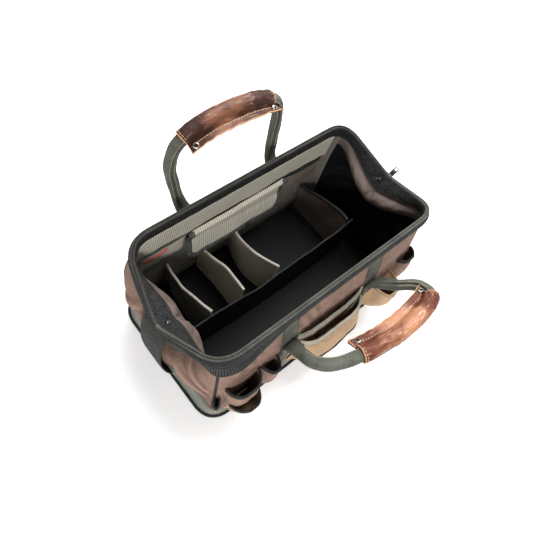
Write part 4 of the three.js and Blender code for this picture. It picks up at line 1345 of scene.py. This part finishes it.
def build_rivet(name, place):
    beside = place + RIVET["aside"] / ARM_RUN
    tilt = float(arm_tilt(beside))
    outward = outward_at(beside)
    inward = UP * math.sin(tilt) - outward * math.cos(tilt)
    downward = -UP * math.cos(tilt) - outward * math.sin(tilt)
    foot = rim_loop(beside) - (outward + UP) * SLEEVE_PIVOT
    foot = foot + inward * (SLEEVE_THICK - SLEEVE_PIVOT + SEAT * 2)
    foot = foot + downward * (sleeve_tall(beside) / 2 - SLEEVE_PIVOT)
    rivet = Shape()
    lathe(rivet, foot, inward, RIVET_SECTION, RIVET)
    dress(rivet.make("hinge_rivet_" + name + "_head", STEEL, sharp=40), "steel", "hinge_rivet_" + name)


def build_end_strap(name, place):
    outward = outward_at(place)
    sideways = np.array([-outward[1], outward[0], 0.0])
    low = base_loop(place)
    low[2] = STRAP_FOOT
    high = rim_loop(place) - outward * STRAP_INSIDE_RIM
    high[2] -= STRAP_BELOW_RIM
    half = STRAP_WIDTH / 2

    def face(aside, rise):
        lift = BAND_THICK + STRAP_THICK + STRAP_BOW * np.sin(math.pi * rise) ** 0.7
        lift = lift - STRAP_EDGE * (np.abs(aside) / half) ** 6
        lift = lift + STRAP_RIDGE["tall"] * np.cos(aside * 2 * math.pi / STRAP_RIDGE["pitch"])
        return lerp(low, high, rise[..., None]) + outward * lift[..., None] + sideways * aside[..., None]

    columns, rows = STRAP_LINES
    strap = "end_strap_" + name
    points = face(*grid(np.linspace(-half, half, columns), np.linspace(0, 1, rows)))
    cloth_piece(strap + "_tape", points, STRAP_THICK, (STRAP,), "grey_webbing", strap, "stretched",
                [name + "_end"])
    wide, foot, head = half - STRAP_BOX["inset"], STRAP_BOX["foot"], STRAP_BOX["head"]
    box = [(-wide, foot), (wide, foot), (wide, head), (-wide, head), (-wide, foot), (wide, head)]
    box += [(wide, foot), (-wide, head)]
    sewn = [(first, last, SHORT_LANE) for first, last in zip(box[:-1], box[1:])]
    sewn += [((aside, head + foot), (aside, 1), LANE) for aside in (STRAP_LANE - half, half - STRAP_LANE)]
    lanes = []
    for first, last, count in sewn:
        share = np.linspace(0, 1, count)
        line = face(lerp(first[0], last[0], share), lerp(first[1], last[1], share))
        lanes.append((line, np.broadcast_to(outward, line.shape)))
    stitches(strap, DARK_THREAD, "grey_webbing", lanes)


def plate(shape, outline, middle, x, y, z, thick, edge):
    """A flat metal plate with a bevelled rim, from an outline in its own plane."""
    centre = outline.mean(0)
    inset = centre + (outline - centre) * (1 - edge / np.abs(outline - centre).max())
    levels = ((inset, 0), (outline, edge * 0.8), (outline, thick - edge * 0.8), (inset, thick))
    rings = [middle + ring[:, :1] * x + ring[:, 1:] * y + z * height for ring, height in levels]
    corners = np.stack(rings)
    count = len(outline)
    index = np.arange(len(levels) * count).reshape(len(levels), count)
    faces, spots = grid_faces(looped(index, 1), flat_grid(looped(corners, 1)))
    caps = np.stack([index[0], index[-1][::-1]])
    cap_spots = np.stack([outline, outline[::-1]]) * MM
    shape.add(corners, [(faces, spots, 0), (caps, cap_spots, 0)])


def build_zip_slider():
    """Two plates with a post between them, a bridge on top, and the pull that hangs on it."""
    outward = outward_at(RIGHT_HINGE)
    level = np.array([0.0, 1.0, 0.0])
    seat = rim_loop(RIGHT_HINGE) + outward * (SEAT * 2 + 2.2)
    seat[2] -= ZIP_TOP + ZIP_TALL / 2
    x, y = boxed(turns_of(48), 0.5)
    width = lerp(SLIDER["narrow"], SLIDER["wide"], x / 2 + 0.5)
    outline = np.stack([x * SLIDER["length"] / 2, y * width / 2], -1)
    slider = Shape()
    for scale, out, thick, edge in ((1, 0, 1.5, 0.4), (0.97, 2.6, 1.5, 0.4), ((0.25, 0.5), 1.2, 1.8, 0.2)):
        plate(slider, outline * scale, seat + outward * out, level, UP, outward, thick, edge)
    share = np.linspace(0, math.pi, 20)
    bridge = seat + outward * (3.6 + 2.4 * np.sin(share))[:, None] + level * (np.cos(share) * 4.6)[:, None]
    across = np.broadcast_to(UP, bridge.shape)
    slider.sweep(bridge, across, unit(np.cross(np.gradient(bridge, axis=0), UP)), rounded(2.6, 1.5, 12, 3))
    dress(slider.make("zip_slider_body", STEEL, sharp=35), "steel", "zip_slider")
    build_zip_pull(seat + outward * SLIDER["tall"], outward, level)


def build_zip_pull(seat, outward, level):
    """A flat tab with an eye at its free end."""
    tilt, run, radius, thick, bevel = [PULL[key] for key in ("tilt", "run", "radius", "thick", "bevel")]
    along = np.array([math.cos(tilt), 0.0, math.sin(tilt)])
    flat = np.array([-math.sin(tilt), 0.0, math.cos(tilt)])
    start = seat + outward * (radius * math.cos(tilt) + thick * math.sin(tilt) + SEAT)
    turn = turns_of(LANE)
    circle = np.stack([np.cos(turn), np.sin(turn)], -1)
    outer = circle * radius
    outer[:, 0] += np.where(circle[:, 0] > 0, run, 0)
    eye = circle * PULL["eye"] + (run, 0)
    edges = ((bevel, 0), (0, bevel), (0, thick - bevel), (bevel, thick))
    rings = [(outer, run / 2, inset, height) for inset, height in edges]
    rings += [(eye, run, -inset, height) for inset, height in edges[::-1]]
    loops = []
    for ring, middle, inset, height in rings:
        centre = np.array([middle, 0])
        shrunk = centre + (ring - centre) * (1 - inset / radius)
        loops.append(start + shrunk[:, :1] * along + shrunk[:, 1:] * level + flat * height)
    corners = np.stack(loops, 1)
    index = np.arange(LANE * len(rings)).reshape(LANE, len(rings))
    faces, spots = grid_faces(looped(looped(index, 1), 0), flat_grid(looped(looped(corners, 1), 0)))
    pull = Shape()
    pull.add(corners, [(faces, spots, 0)])
    dress(pull.make("zip_pull_tab", STEEL, sharp=35), "steel", "zip_pull")


def build_mouth():
    halves = (("front", LEFT_HINGE - LOOP, RIGHT_HINGE), ("back", RIGHT_HINGE, LEFT_HINGE))
    for name, start, end in halves:
        build_zip(name, *build_sleeve(name, start, end))
    for name, place in (("left", LEFT_HINGE), ("right", RIGHT_HINGE)):
        build_rivet(name, place)
        build_end_strap(name, place)
    build_zip_slider()


# Pockets

def pocket_face(row, middle, inward, backing):
    """Outer face of a pocket over the wall, as a function of place along and height."""
    direction = -1 if inward else 1
    sides = PANEL if row["trim"] == "grey" else 0

    def face(along, z, ribs=1):
        place = middle + along / WALL_RUN
        across = np.clip((along - row["from"]) / (row["to"] - row["from"]), 0, 1)
        up = np.clip((z - row["low"]) / (row["high"] - row["low"]), 0, 1)
        aside = np.abs(2 * across - 1)
        still = (1 - aside ** 4) * np.sin(math.pi * up ** 0.7 * 0.85)
        dent = uneven("pocket_soft", along, z * 0.5, more=row["from"])
        dent = dent + uneven("pocket_fine", along + z * 0.6, z * 0.4, more=row["from"])
        sewn = lerp(sides, PANEL, smooth(1 - aside, 0, 0.14))
        off = backing(along, z) + stand_off(row, along, z) + sewn + row["slack"] * dent * still
        if row["cloth"] == "ribbed":
            off = off + rib(along) * ribs
        return wall_face(place, rise_of(z)) + outward_at(place) * (direction * off)[..., None]

    return face


def rib(along):
    return RIB_TALL * (0.5 - 0.5 * np.cos(along * 2 * math.pi / RIB_PITCH))


LIPS = {
    "grey": {"thick": 5.0, "tall": 14},
    "black": {"thick": 4.2, "tall": 10},
    "tan": {"thick": 4.0, "tall": 9},
    "thin": {"thick": 3.4, "tall": 4.5},
}


def build_pocket(row, middle, inward, backing, rests_on):
    name, low, high, cloth = [row[key] for key in ("name", "low", "high", "cloth")]
    face = pocket_face(row, middle, inward, backing)
    turn = -1 if inward else 1

    def shown(u, v):
        """The face run through the way that turns its normals off the wall."""
        return face(turn * u, v)

    width = row["to"] - row["from"]
    columns, closer = int(np.clip(width / 3, 22, 60)), 0.6
    if cloth == "ribbed":
        columns, closer = int(width / RIB_PITCH * 7), 0.0
    us = spread(row["from"], row["to"], columns, closer)[::turn]
    along, up = grid(us, np.linspace(low, high, int(np.clip((high - low) / 3.2, 16, 46))))
    cloth_piece(name + "_cloth", face(along, up), PANEL, (CLOTHS[cloth],), SLOTS[cloth], name, "stretched",
                rests_on, face(along, up, 0), flat=np.stack([along, up], -1))
    lip = LIPS[row["trim"]]
    edge = turn * spread(row["from"] + 0.5, row["to"] - 0.5, LANE)[::turn]
    trim = Shape()
    bind_edge(trim, shown, edge, high, lip["thick"], lip["tall"])
    dress(trim.make(name + "_binding", TRIMS[row["trim"]]), "black_trim")
    points, normals = on_face(shown, edge, high + 3.0 - lip["tall"])
    lanes = [(points + normals * lip["thick"] * 0.22, normals)]
    heights = np.linspace(low + 2, high - 8, 40)
    lanes += [on_face(shown, turn * aside, heights) for aside in (row["from"] + 2.2, row["to"] - 2.2)]
    stitches(name, DARK_THREAD if row["trim"] == "black" else PALE_THREAD, SLOTS[cloth], lanes)
    return face


def build_outer_pockets(rows, middle, wall):
    named = {row["name"]: row for row in rows}
    faces = {}
    for row in rows:
        under = named.get(row["on"])

        def backing(along, z, under=under):
            if under is None:
                return SEAT
            return SEAT + stand_off(under, along, np.minimum(z, under["high"])) + PANEL + SEAT * 4

        faces[row["name"]] = build_pocket(row, middle, False, backing, [under["name"] if under else wall])
    return faces


def build_face_piping(face):
    """Black cord round the fullest line of the tan pocket."""
    half, low, high, turn, thick = [FACE_PIPING[key] for key in ("half", "low", "high", "turn", "thick")]
    points, normals = on_face(face, *hem_line(-half, half, low, high, turn, 14, 150))
    side = unit(np.cross(normals, unit(np.gradient(points, axis=0))))
    cord = Shape()
    cord.sweep(points + normals, side, normals, rounded(thick, thick, 12, 2))
    dress(cord.make("front_pocket_face_piping", PIPING), "black_trim")


# Inside

def hung_face(row):
    """Inner face of a ribbed panel that hangs on the back wall."""

    def face(along, z, ribs=1):
        place = BACK_MIDDLE + along / WALL_RUN
        up = np.clip((z - row["low"]) / (row["high"] - row["low"]), 0, 1)
        wave = uneven("hung_panel", along, z, more=int(row["low"])) * (1 - up)
        off = WALL + SEAT * 2 + lerp(row["foot"], row["head"], up) + row["thick"] + wave + rib(along) * ribs
        return wall_face(place, rise_of(z)) - outward_at(place) * off[..., None]

    return face


def build_inner_panel():
    face = hung_face(INNER_PANEL)
    columns, rows = PANEL_LINES
    us = np.linspace(INNER_PANEL["to"], INNER_PANEL["from"], columns)
    along, up = grid(us, np.linspace(INNER_PANEL["low"], INNER_PANEL["high"], rows))
    cloth_piece("inner_panel_cloth", face(along, up), INNER_PANEL["thick"] - 1, (RIBBED,), "ribbed_lining",
                "inner_panel", "hung", ["rim_back"], face(along, up, 0), flat=np.stack([along, up], -1))


def build_inner_flap():
    """The flap has round lower corners, a rolled top and a wide dark binding."""
    face = hung_face(INNER_FLAP)
    first, last, low, high, thick = [INNER_FLAP[key] for key in ("from", "to", "low", "high", "thick")]

    def creased(along, z, ribs=1):
        middle = (low + high) / 2 + FLAP_CREASE["wander"] * np.sin(along / FLAP_CREASE["wave"])
        roll = FLAP_ROLL["proud"] * bump(z, high - FLAP_ROLL["below"], FLAP_ROLL["wide"])
        crease = FLAP_CREASE["deep"] * bump(z, middle, FLAP_CREASE["wide"])
        ribs = ribs * (1 - FLAP_ROLL["smoothed"] * smooth(z, high - 34, high - 20))
        return face(along, z, ribs) - outward_at(BACK_MIDDLE + along / WALL_RUN) * (roll - crease)[..., None]

    columns, corner_rows, rows = FLAP_LINES
    corner = low + FLAP_CORNER * (1 - np.cos(np.linspace(0.12, math.pi / 2, corner_rows)))
    zs = np.concatenate([corner, np.linspace(low + FLAP_CORNER, high, rows)[1:]])
    shares, heights = grid(np.linspace(1, 0, columns), zs)
    drop = np.clip(FLAP_CORNER + low - heights, 0, FLAP_CORNER)
    inset = FLAP_CORNER - np.sqrt(FLAP_CORNER ** 2 - drop ** 2)
    along = lerp(first + inset, last - inset, shares)
    cloth_piece("inner_flap_cloth", creased(along, heights), thick - 0.6, (RIBBED,), "ribbed_lining",
                "inner_flap", "hung", ["inner_panel"], creased(along, heights, 0),
                flat=np.stack([along, heights], -1))
    points, normals = on_face(creased, *hem_line(first, last, low, high - 1, FLAP_CORNER, 16, 220))
    normals = -normals
    into = unit(np.cross(unit(np.gradient(points, axis=0)), normals))
    trim = Shape()
    trim.sweep(points - normals * thick / 2 - into * FLAP_BINDING["over"], normals, into,
               rounded(FLAP_BINDING["thick"], FLAP_BINDING["tall"], 18, 3.5))
    dress(trim.make("inner_flap_binding", DARK_TAPE), "black_trim")
    lane = points + normals * FLAP_BINDING["stand"] - into * FLAP_BINDING["lane"]
    stitches("inner_flap", DARK_THREAD, "ribbed_lining", [(lane, normals)])


def build_tab(face):
    """A bare red strip with round ends, sewn on the inner pocket."""
    columns, rows = TAB_LINES
    half = (TAB["high"] - TAB["low"]) / 2
    shares, heights = grid(np.linspace(1, 0, columns), np.linspace(TAB["low"], TAB["high"], rows))
    level = np.clip(np.abs(heights - TAB["low"] - half) / half, 0, 0.98)
    inset = half * (1 - np.sqrt(1 - level ** 2))
    along = lerp(TAB["from"] + inset, TAB["to"] - inset, shares)
    points = face(along, heights)
    place = BACK_MIDDLE + along / WALL_RUN
    points = points - outward_at(place) * (SEAT * 3 + TAB["thick"] + RIB_TALL - rib(along))[..., None]
    strip = Shape()
    strip.cloth(points, points - face_normals(points) * TAB["thick"])
    dress(strip.make("pocket_tab_strip", RED), "red_strip", "pocket_tab")


def build_inside():
    build_inner_panel()
    build_inner_flap()

    def backing(along, z):
        return WALL + SEAT * 2

    for row in INNER_POCKETS:
        face = build_pocket(row, BACK_MIDDLE, True, backing, ["back_wall"])
        if row["cloth"] == "ribbed":
            build_tab(face)
    build_dividers()


def divider_piece(name, face, tops, start, end, columns, thick, cloth, trim, slot):
    """An upright padded cloth with a binding over its top edge."""
    us = np.linspace(start, end, columns)
    along, up = grid(us, np.linspace(0, 1, DIVIDER_LINES[1]))
    points = face(along, lerp(FLOOR, tops(along), up))
    pad = Shape()
    pad.cloth(points, points - face_normals(points) * thick)
    dress(pad.make(name + "_pad", cloth), slot, name)
    edge = face(us, tops(us))
    forward = unit(np.gradient(edge, axis=0))
    normals = square_to(face_normals(points)[:, -1], forward)
    into = unit(np.cross(normals, forward))
    binding = Shape()
    binding.sweep(edge - normals * thick / 2 - into * DIVIDER_BINDING["over"], normals, into,
                  rounded(thick + DIVIDER_BINDING["proud"], DIVIDER_BINDING["tall"], 18, 3))
    dress(binding.make(name + "_binding", trim), "black_trim")


def build_dividers():
    start = LENGTHWISE["y"] + PANEL / 2 + SEAT
    for row in DIVIDERS:

        def face(y, z, row=row):
            share = (y - start) / (DIVIDER_TAIL - start)
            sway = row["bow"] * np.sin(math.pi * share)
            wave = uneven("divider", y, z, more=abs(row["x"])) * smooth(z, 30, 100)
            x = row["x"] + sway + DIVIDER_THICK / 2 + wave
            return np.stack([x, y, z], -1)

        def tops(y):
            share = np.clip((y - start) / (DIVIDER_BACK - start), 0, 1)
            return lerp(DIVIDER_TALL, DIVIDER_SHELF, share ** 1.6)

        # divider_4 takes the darker taupe cloth as painted shade for the shadow it stands in, with a black
        # binding.
        cloth, trim = (TAUPE, BLACK_TAPE) if row["name"] == "divider_4" else (DIVIDER_CLOTH, DIVIDER_TAPE)
        divider_piece(row["name"], face, tops, start, DIVIDER_TAIL, DIVIDER_LINES[0], DIVIDER_THICK, cloth,
                      trim, "taupe_lining")

    def long_face(x, z):
        share = (x - LENGTHWISE["left"]) / (LENGTHWISE["right"] - LENGTHWISE["left"])
        wave = uneven("divider_lengthwise", x, z) * smooth(z, 20, 90)
        y = LENGTHWISE["y"] - LENGTHWISE["bow"] * np.sin(math.pi * share) - PANEL / 2 + wave
        return np.stack([x, y, z], -1)

    def long_top(x):
        return np.full(np.shape(x), float(LENGTHWISE["tall"]))

    divider_piece("divider_lengthwise", long_face, long_top, LENGTHWISE["left"], LENGTHWISE["right"],
                  DIVIDER_LINES[0] * 2, PANEL, BLACK_LINING_AND_SHADE, BLACK_TAPE, "black_lining")


# Handles

def curve_through(points, per_span=60):
    """Smooth curve through points, evenly spaced by the root of the distance between them."""
    points = np.array(points, float)
    ends = np.concatenate([[2 * points[0] - points[1]], points, [2 * points[-1] - points[-2]]])
    share = np.linspace(0, 1, per_span, endpoint=False)[:, None]
    spans = []
    for before, first, last, after in zip(ends[:-3], ends[1:-2], ends[2:-1], ends[3:]):
        lead = np.linalg.norm(first - before) ** 0.5
        span = np.linalg.norm(last - first) ** 0.5
        trail = np.linalg.norm(after - last) ** 0.5
        out = ((first - before) / lead - (last - before) / (lead + span) + (last - first) / span) * span
        into = ((last - first) / span - (after - first) / (span + trail) + (after - last) / trail) * span
        square = -3 * first + 3 * last - 2 * out - into
        cube = 2 * first - 2 * last + out + into
        spans.append(first + out * share + square * share ** 2 + cube * share ** 3)
    return np.concatenate(spans + [points[-1:]])


def handle_curve(handle):
    side = handle["side"]
    line = handle["line"]

    def foot(x, z, lift):
        place = FRONT_MIDDLE + x / WALL_RUN if side < 0 else BACK_MIDDLE - x / WALL_RUN
        return wall_point(place, rise_of(z)) + outward_at(place) * lift

    lift = SEAT * 2 + PANEL + FOOT_THICK
    first, last = line[0][2], line[-1][2]
    free = [np.array([x, side * out, z], float) for x, out, z in line]
    sewn = ((SEWN_RUN, lift), (SEWN_RUN / 2, lift + PEEL))
    start = [foot(-HANDLE_FOOT, first - below, off) for below, off in sewn]
    end = [foot(HANDLE_FOOT, last - below, off) for below, off in sewn[::-1]]
    return curve_through(start + free + end)


def roundness(share):
    return smooth(np.minimum(share, 1 - share), FOOT_FLAT, FOOT_ROUND)


class Handle:
    """The middle line of a handle, with its directions at every share of its length."""

    def __init__(self, handle):
        self.side = handle["side"]
        self.curve = handle_curve(handle)
        self.run = run_along(self.curve)
        self.length = self.run[-1]
        self.run = self.run / self.length
        feet = (self.curve[0] + self.curve[-1]) / 2
        self.centre = lerp(self.at(np.array([0.5]))[0], feet, LOOP_CENTRE)
        reach = GRIP_LENGTH / 2 / self.length
        self.grip = (handle["grip_middle"] - reach, handle["grip_middle"] + reach)

    def at(self, share):
        return between(self.curve, self.run, share)

    def frame(self, share):
        point = self.at(share)
        tangent = unit(self.at(np.minimum(share + 0.003, 1)) - self.at(np.maximum(share - 0.003, 0)))
        along_wall = np.stack([-np.sign(point[:, 0]), 0 * point[:, 0], 0 * point[:, 0]], -1)
        inward = lerp(along_wall, unit(self.centre - point), roundness(share)[:, None])
        inward = square_to(inward, tangent)
        square = unit(np.cross(tangent, inward)) * -self.side
        return point, inward, square

    def grip_frame(self, share):
        """The same, turned so that the flange of the grip lies up."""
        point, inward, square = self.frame(share)
        cos, sin = math.cos(FLANGE_ROLL[self.side]), math.sin(FLANGE_ROLL[self.side])
        return point, inward * cos + square * sin, square * cos - inward * sin

    def flare(self, share, reach):
        """How far the flange runs on along the grip, and lifts, this far from the middle of the tube."""
        first, last = self.grip
        along = (share - first) / (last - first)
        at_left, at_right = FLARE[self.side]
        past = at_right * smooth(along, 0.5, 1) - at_left * (1 - smooth(along, 0, 0.5))
        on_flange = np.clip((reach - GRIP_BORE) / FLANGE[self.side], 0, 1)
        ends = self.at(np.array([first, last]))
        square = self.grip_frame(np.array([last]))[2][0]
        lift = FLARE_LIFT * smooth(along, 0.75, 1) * on_flange ** 2
        return (on_flange * past)[..., None] * unit(ends[1] - ends[0]) + lift[..., None] * square


def grip_outline(spread_out, wide):
    """Section of the leather: round the tube, with its two edges laid together as a flange."""
    turns = np.linspace(0.40, 2 * math.pi - 0.40, 40)
    tip = GRIP_BORE + wide
    leaf = LEATHER + SEAT / 2

    def side(radius, neck, edge):
        half = [(tip, edge + spread_out), (tip - 1.6, edge + 0.3 + spread_out)]
        half += [(tip - 6, edge + 0.2 + spread_out * 0.6), (radius + 4.6, edge + 0.1), (radius + 2.6, neck)]
        ring = [(radius * math.cos(turn), radius * math.sin(turn)) for turn in turns]
        return half + ring + [(x, -y) for x, y in half[::-1]]

    outer = side(GRIP_BORE + LEATHER, leaf * 0.62, leaf)
    inner = side(GRIP_BORE, 0.7, SEAT / 2)
    return np.array(outer + inner[::-1])


def build_grip(name, handle, finish):
    start, end = handle.grip
    along = np.linspace(0, 1, GRIP_STATIONS)
    shares = lerp(start, end, along)
    point, inward, square = handle.grip_frame(shares)
    near_end = smooth(np.abs(2 * along - 1), 0.82, 1) * (name == "front")
    outline = np.stack([grip_outline(1.2 * opening, FLANGE[handle.side]) for opening in near_end])
    flange = smooth(outline[..., 0], GRIP_BORE, GRIP_BORE + 4)
    radius = GRIP_BORE + LEATHER
    run = (along * GRIP_LENGTH)[:, None]
    round_run = np.arctan2(outline[..., 1], outline[..., 0]) * radius
    dent = uneven("grip_dent", run, round_run) + uneven("grip_fine", run, round_run)
    rough_edge = uneven("grip_edge", run, 0 * round_run)
    outline = outline * (1 + dent / radius * (1 - flange))[..., None]
    outline[..., 0] += flange * rough_edge
    sides = outline.shape[1]
    kinds = np.zeros((GRIP_STATIONS - 1, sides), int)
    kinds[:, [0, sides // 2 - 2, sides // 2 - 1, sides - 1]] = 1
    kinds[[0, -1]] = 1
    grip = Shape()
    lean = handle.flare(shares[:, None], outline[..., 0])
    grip.sweep(point, inward, square, outline, kinds, cap=1, lean=lean)
    piece = grip.make("grip_" + name + "_leather", finish, RAW_EDGE, sharp=55)
    dress(piece, "grip_leather", "grip_" + name)
    seam = radius + GRIP_SEAM
    lanes = []
    for sign in (1, -1):
        lane = point + inward * seam + square * sign * (LEATHER + SEAT / 2) + handle.flare(shares, seam)
        lanes.append((lane[3:-3], square[3:-3] * sign))
    turns = np.linspace(0.62, 2 * math.pi - 0.62, LANE)[:, None]
    inset = GRIP_LANE / handle.length
    for share in (start + inset, end - inset):
        middle, towards, across = handle.grip_frame(np.array([share]))
        ring = np.cos(turns) * towards + np.sin(turns) * across
        lanes.append((middle + ring * (radius + 0.15), ring))
    stitches("grip_" + name, HIDE_THREAD, "grip_leather", lanes, GRIP_STITCH)


def build_snap(name, handle, share):
    point, inward, square = [row[0] for row in handle.grip_frame(np.array([share]))]
    reach = GRIP_BORE + FLANGE[handle.side] * SNAP["place"]
    middle = point + inward * reach + handle.flare(np.array(share), reach)
    front = middle + square * (LEATHER + SEAT / 2 + 0.2)
    snap = Shape()
    lathe(snap, front, square, SNAP_RING_SECTION, SNAP)
    lathe(snap, front, square, SNAP_CUP_SECTION, SNAP, 1)
    lathe(snap, middle - square * (LEATHER + SEAT / 2 + 0.2), -square, SNAP_BACK_SECTION, SNAP)
    dress(snap.make("snap_" + name + "_button", SNAP_RING, SNAP_CUP, sharp=40), "snap_metal", "snap_" + name)


def build_anchor(name, side, x):
    middle, wall = (FRONT_MIDDLE, "front_wall") if side < 0 else (BACK_MIDDLE, "back_wall")
    half = ANCHOR_WIDTH / 2

    def face(aside, z):
        place = middle + (aside - side * x) / WALL_RUN
        return wall_face(place, rise_of(z)) + outward_at(place) * PANEL

    columns, rows = ANCHOR_LINES
    anchor = "handle_anchor_" + name
    points = face(*grid(spread(-half, half, columns, 0.5), np.linspace(ANCHOR_LOW, ANCHOR_HIGH, rows)))
    cloth_piece(anchor + "_tape", points, PANEL - SEAT, (ROLLED,), "handle_webbing", anchor, "stretched",
                [wall])
    heights = np.linspace(ANCHOR_LOW + 3, ANCHOR_HIGH - 3, LANE)
    lanes = [on_face(face, aside, heights) for aside in (ANCHOR_LANE - half, half - ANCHOR_LANE)]
    stitches(anchor, DARK_THREAD, "handle_webbing", lanes)


def build_roll(name, handle):
    """Webbing rolled to a tube, with its edges sewn together along a groove and its feet left flat."""
    shares = np.linspace(0, 1, HANDLE_STATIONS)
    round_share = roundness(shares)[:, None]
    wide = lerp(FOOT_WIDE, TUBE_RADIUS, round_share)
    thick = lerp(FOOT_THICK, TUBE_RADIUS, round_share)
    turn = turns_of(HANDLE_SIDES, 0.5)[None, :]
    seam = lerp(*SEAM_TURNS[name], shares)[:, None]
    aside = np.angle(np.exp(1j * (turn - seam)))
    lap = -SEAM_GROOVE["deep"] * bump(aside, 0, SEAM_GROOVE["wide"])
    for edge in (SEAM_LAP["aside"], -SEAM_LAP["aside"]):
        lap = lap + SEAM_LAP["tall"] * bump(aside, edge, SEAM_LAP["wide"])
    soft = uneven("handle_soft", (shares * handle.length)[:, None], turn * TUBE_RADIUS)
    x, y = boxed(turn, lerp(0.62, 1.0, round_share))
    extra = (lap + soft) * round_share
    tube = Shape()
    tube.sweep(*handle.frame(shares), np.stack([x * (wide + extra), y * (thick + extra)], -1))
    piece = dress(tube.make("handle_" + name + "_roll", ROLLED), "handle_webbing", "handle_" + name)


def build_roll_stitches(name, handle):
    """Stitches along both sides of the groove, and on the flat feet."""
    start, end = handle.grip
    lanes = []
    for first, last in ((FOOT_ROUND, start), (end, 1 - FOOT_ROUND)):
        leg = np.linspace(first, last, LANE)
        middle, towards, across = handle.frame(leg)
        for shift in (-SEAM_LANE, SEAM_LANE):
            turn = lerp(*SEAM_TURNS[name], leg)[:, None] + shift
            ring = np.cos(turn) * towards + np.sin(turn) * across
            lanes.append((middle + ring * (TUBE_RADIUS + 0.9), ring))
    for first, last in ((0.004, FOOT_FLAT), (1 - FOOT_FLAT, 0.996)):
        middle, towards, across = handle.frame(np.linspace(first, last, 30))
        outer = np.broadcast_to([0.0, float(handle.side), 0.0], middle.shape)
        lanes += [(middle + towards * aside + outer * FOOT_THICK, outer) for aside in (-FOOT_LANE, FOOT_LANE)]
    stitches("handle_" + name, PALE_THREAD, "handle_webbing", lanes)


def build_handle(row, finish):
    handle = Handle(row)
    name = row["name"]
    build_roll(name, handle)
    build_roll_stitches(name, handle)
    build_grip(name, handle, finish)
    inset = SNAP["inset"] / handle.length
    build_snap(name + "_left", handle, handle.grip[0] + inset)
    build_snap(name + "_right", handle, handle.grip[1] - inset)
    build_anchor(name + "_left", handle.side, -HANDLE_FOOT)
    build_anchor(name + "_right", handle.side, HANDLE_FOOT)


# Camera, light and floor, in metres and radians
FLOOR_HALF = 6.0
FLOOR_GLOW = 0.175
SKY_STRENGTH = 0.38
LIGHTS = table(
    "name place target size power",
    ("key", (0.9, 0.45, 1.9), (0, 0, 0.15), 1.7, 92),
    ("fill", (-1.15, -1.2, 1.15), (-0.1, 0, 0.15), 0.3, 22),
)
CAMERA_PLACE = (-0.4225, -0.2565, 1.0012)
CAMERA_AZIMUTH = -0.993
CAMERA_ELEVATION = 1.0645
CAMERA_ROLL = 0.3435
CAMERA_LENS = 33.63
CAMERA_SENSOR = 36


def build_camera():
    right = np.array([math.cos(CAMERA_AZIMUTH), math.sin(CAMERA_AZIMUTH), 0.0])
    level = np.array([right[1], -right[0], 0.0])
    back = level * math.cos(CAMERA_ELEVATION) + UP * math.sin(CAMERA_ELEVATION)
    up = np.cross(back, right)
    across = right * math.cos(CAMERA_ROLL) + up * math.sin(CAMERA_ROLL)
    upward = up * math.cos(CAMERA_ROLL) - right * math.sin(CAMERA_ROLL)
    data = bpy.data.cameras.new("camera")
    data.lens = CAMERA_LENS
    data.sensor_width = CAMERA_SENSOR
    data.clip_start = 0.01
    camera = bpy.data.objects.new("camera", data)
    columns = np.stack([across, upward, back], 1)
    camera.matrix_world = Matrix.Translation(CAMERA_PLACE) @ Matrix(columns.tolist()).to_4x4()
    bpy.context.scene.collection.objects.link(camera)
    bpy.context.scene.camera = camera


def add_light(name, place, target, size, power):
    data = bpy.data.lights.new(name, "AREA")
    data.size = size
    data.energy = power
    light = bpy.data.objects.new(name, data)
    light.location = place
    aim = unit(np.array(target) - np.array(place))
    axis = np.cross(-UP, aim)
    light.rotation_mode = "AXIS_ANGLE"
    light.rotation_axis_angle = (math.acos(-aim[2]), *axis.tolist())
    bpy.context.scene.collection.objects.link(light)


def build_stage():
    mesh = bpy.data.meshes.new("floor")
    corners = [(x * FLOOR_HALF, y * FLOOR_HALF, 0) for x, y in ((-1, -1), (1, -1), (1, 1), (-1, 1))]
    mesh.from_pydata(corners, [], [(0, 1, 2, 3)])
    paper = Finish("white_floor", roughness=0.9)
    tone = paper.noise(6, 2)
    paper.set("Base Color", paper.mix(tone, (0.9, 0.9, 0.9, 1), (0.93, 0.93, 0.93, 1)))
    paper.set("Emission Color", (1, 1, 1, 1))
    paper.set("Emission Strength", FLOOR_GLOW)
    mesh.materials.append(paper.material)
    floor = bpy.data.objects.new("floor", mesh)
    bpy.context.scene.collection.objects.link(floor)
    floor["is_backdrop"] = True
    world = bpy.data.worlds.new("studio")
    world.use_nodes = True
    sky = world.node_tree.nodes["Background"]
    sky.inputs["Color"].default_value = (1, 1, 1, 1)
    sky.inputs["Strength"].default_value = SKY_STRENGTH
    bpy.context.scene.world = world
    for row in LIGHTS:
        add_light(**row)
    bpy.context.scene.view_settings.view_transform = "Standard"


build_camera()
build_stage()
build_walls()
build_base()
build_mouth()
front_faces = build_outer_pockets(FRONT_POCKETS, FRONT_MIDDLE, "front_wall")
build_face_piping(front_faces["front_pocket_face"])
build_outer_pockets(BACK_POCKETS, BACK_MIDDLE, "back_wall")
build_inside()
for row, finish in zip(HANDLES, (HIDE_FRONT, HIDE_BACK)):
    build_handle(row, finish)

boxes = {"cad": CAD_BOX, "visual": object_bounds()}
{name: [list(corner) for corner in box] for name, box in boxes.items()}
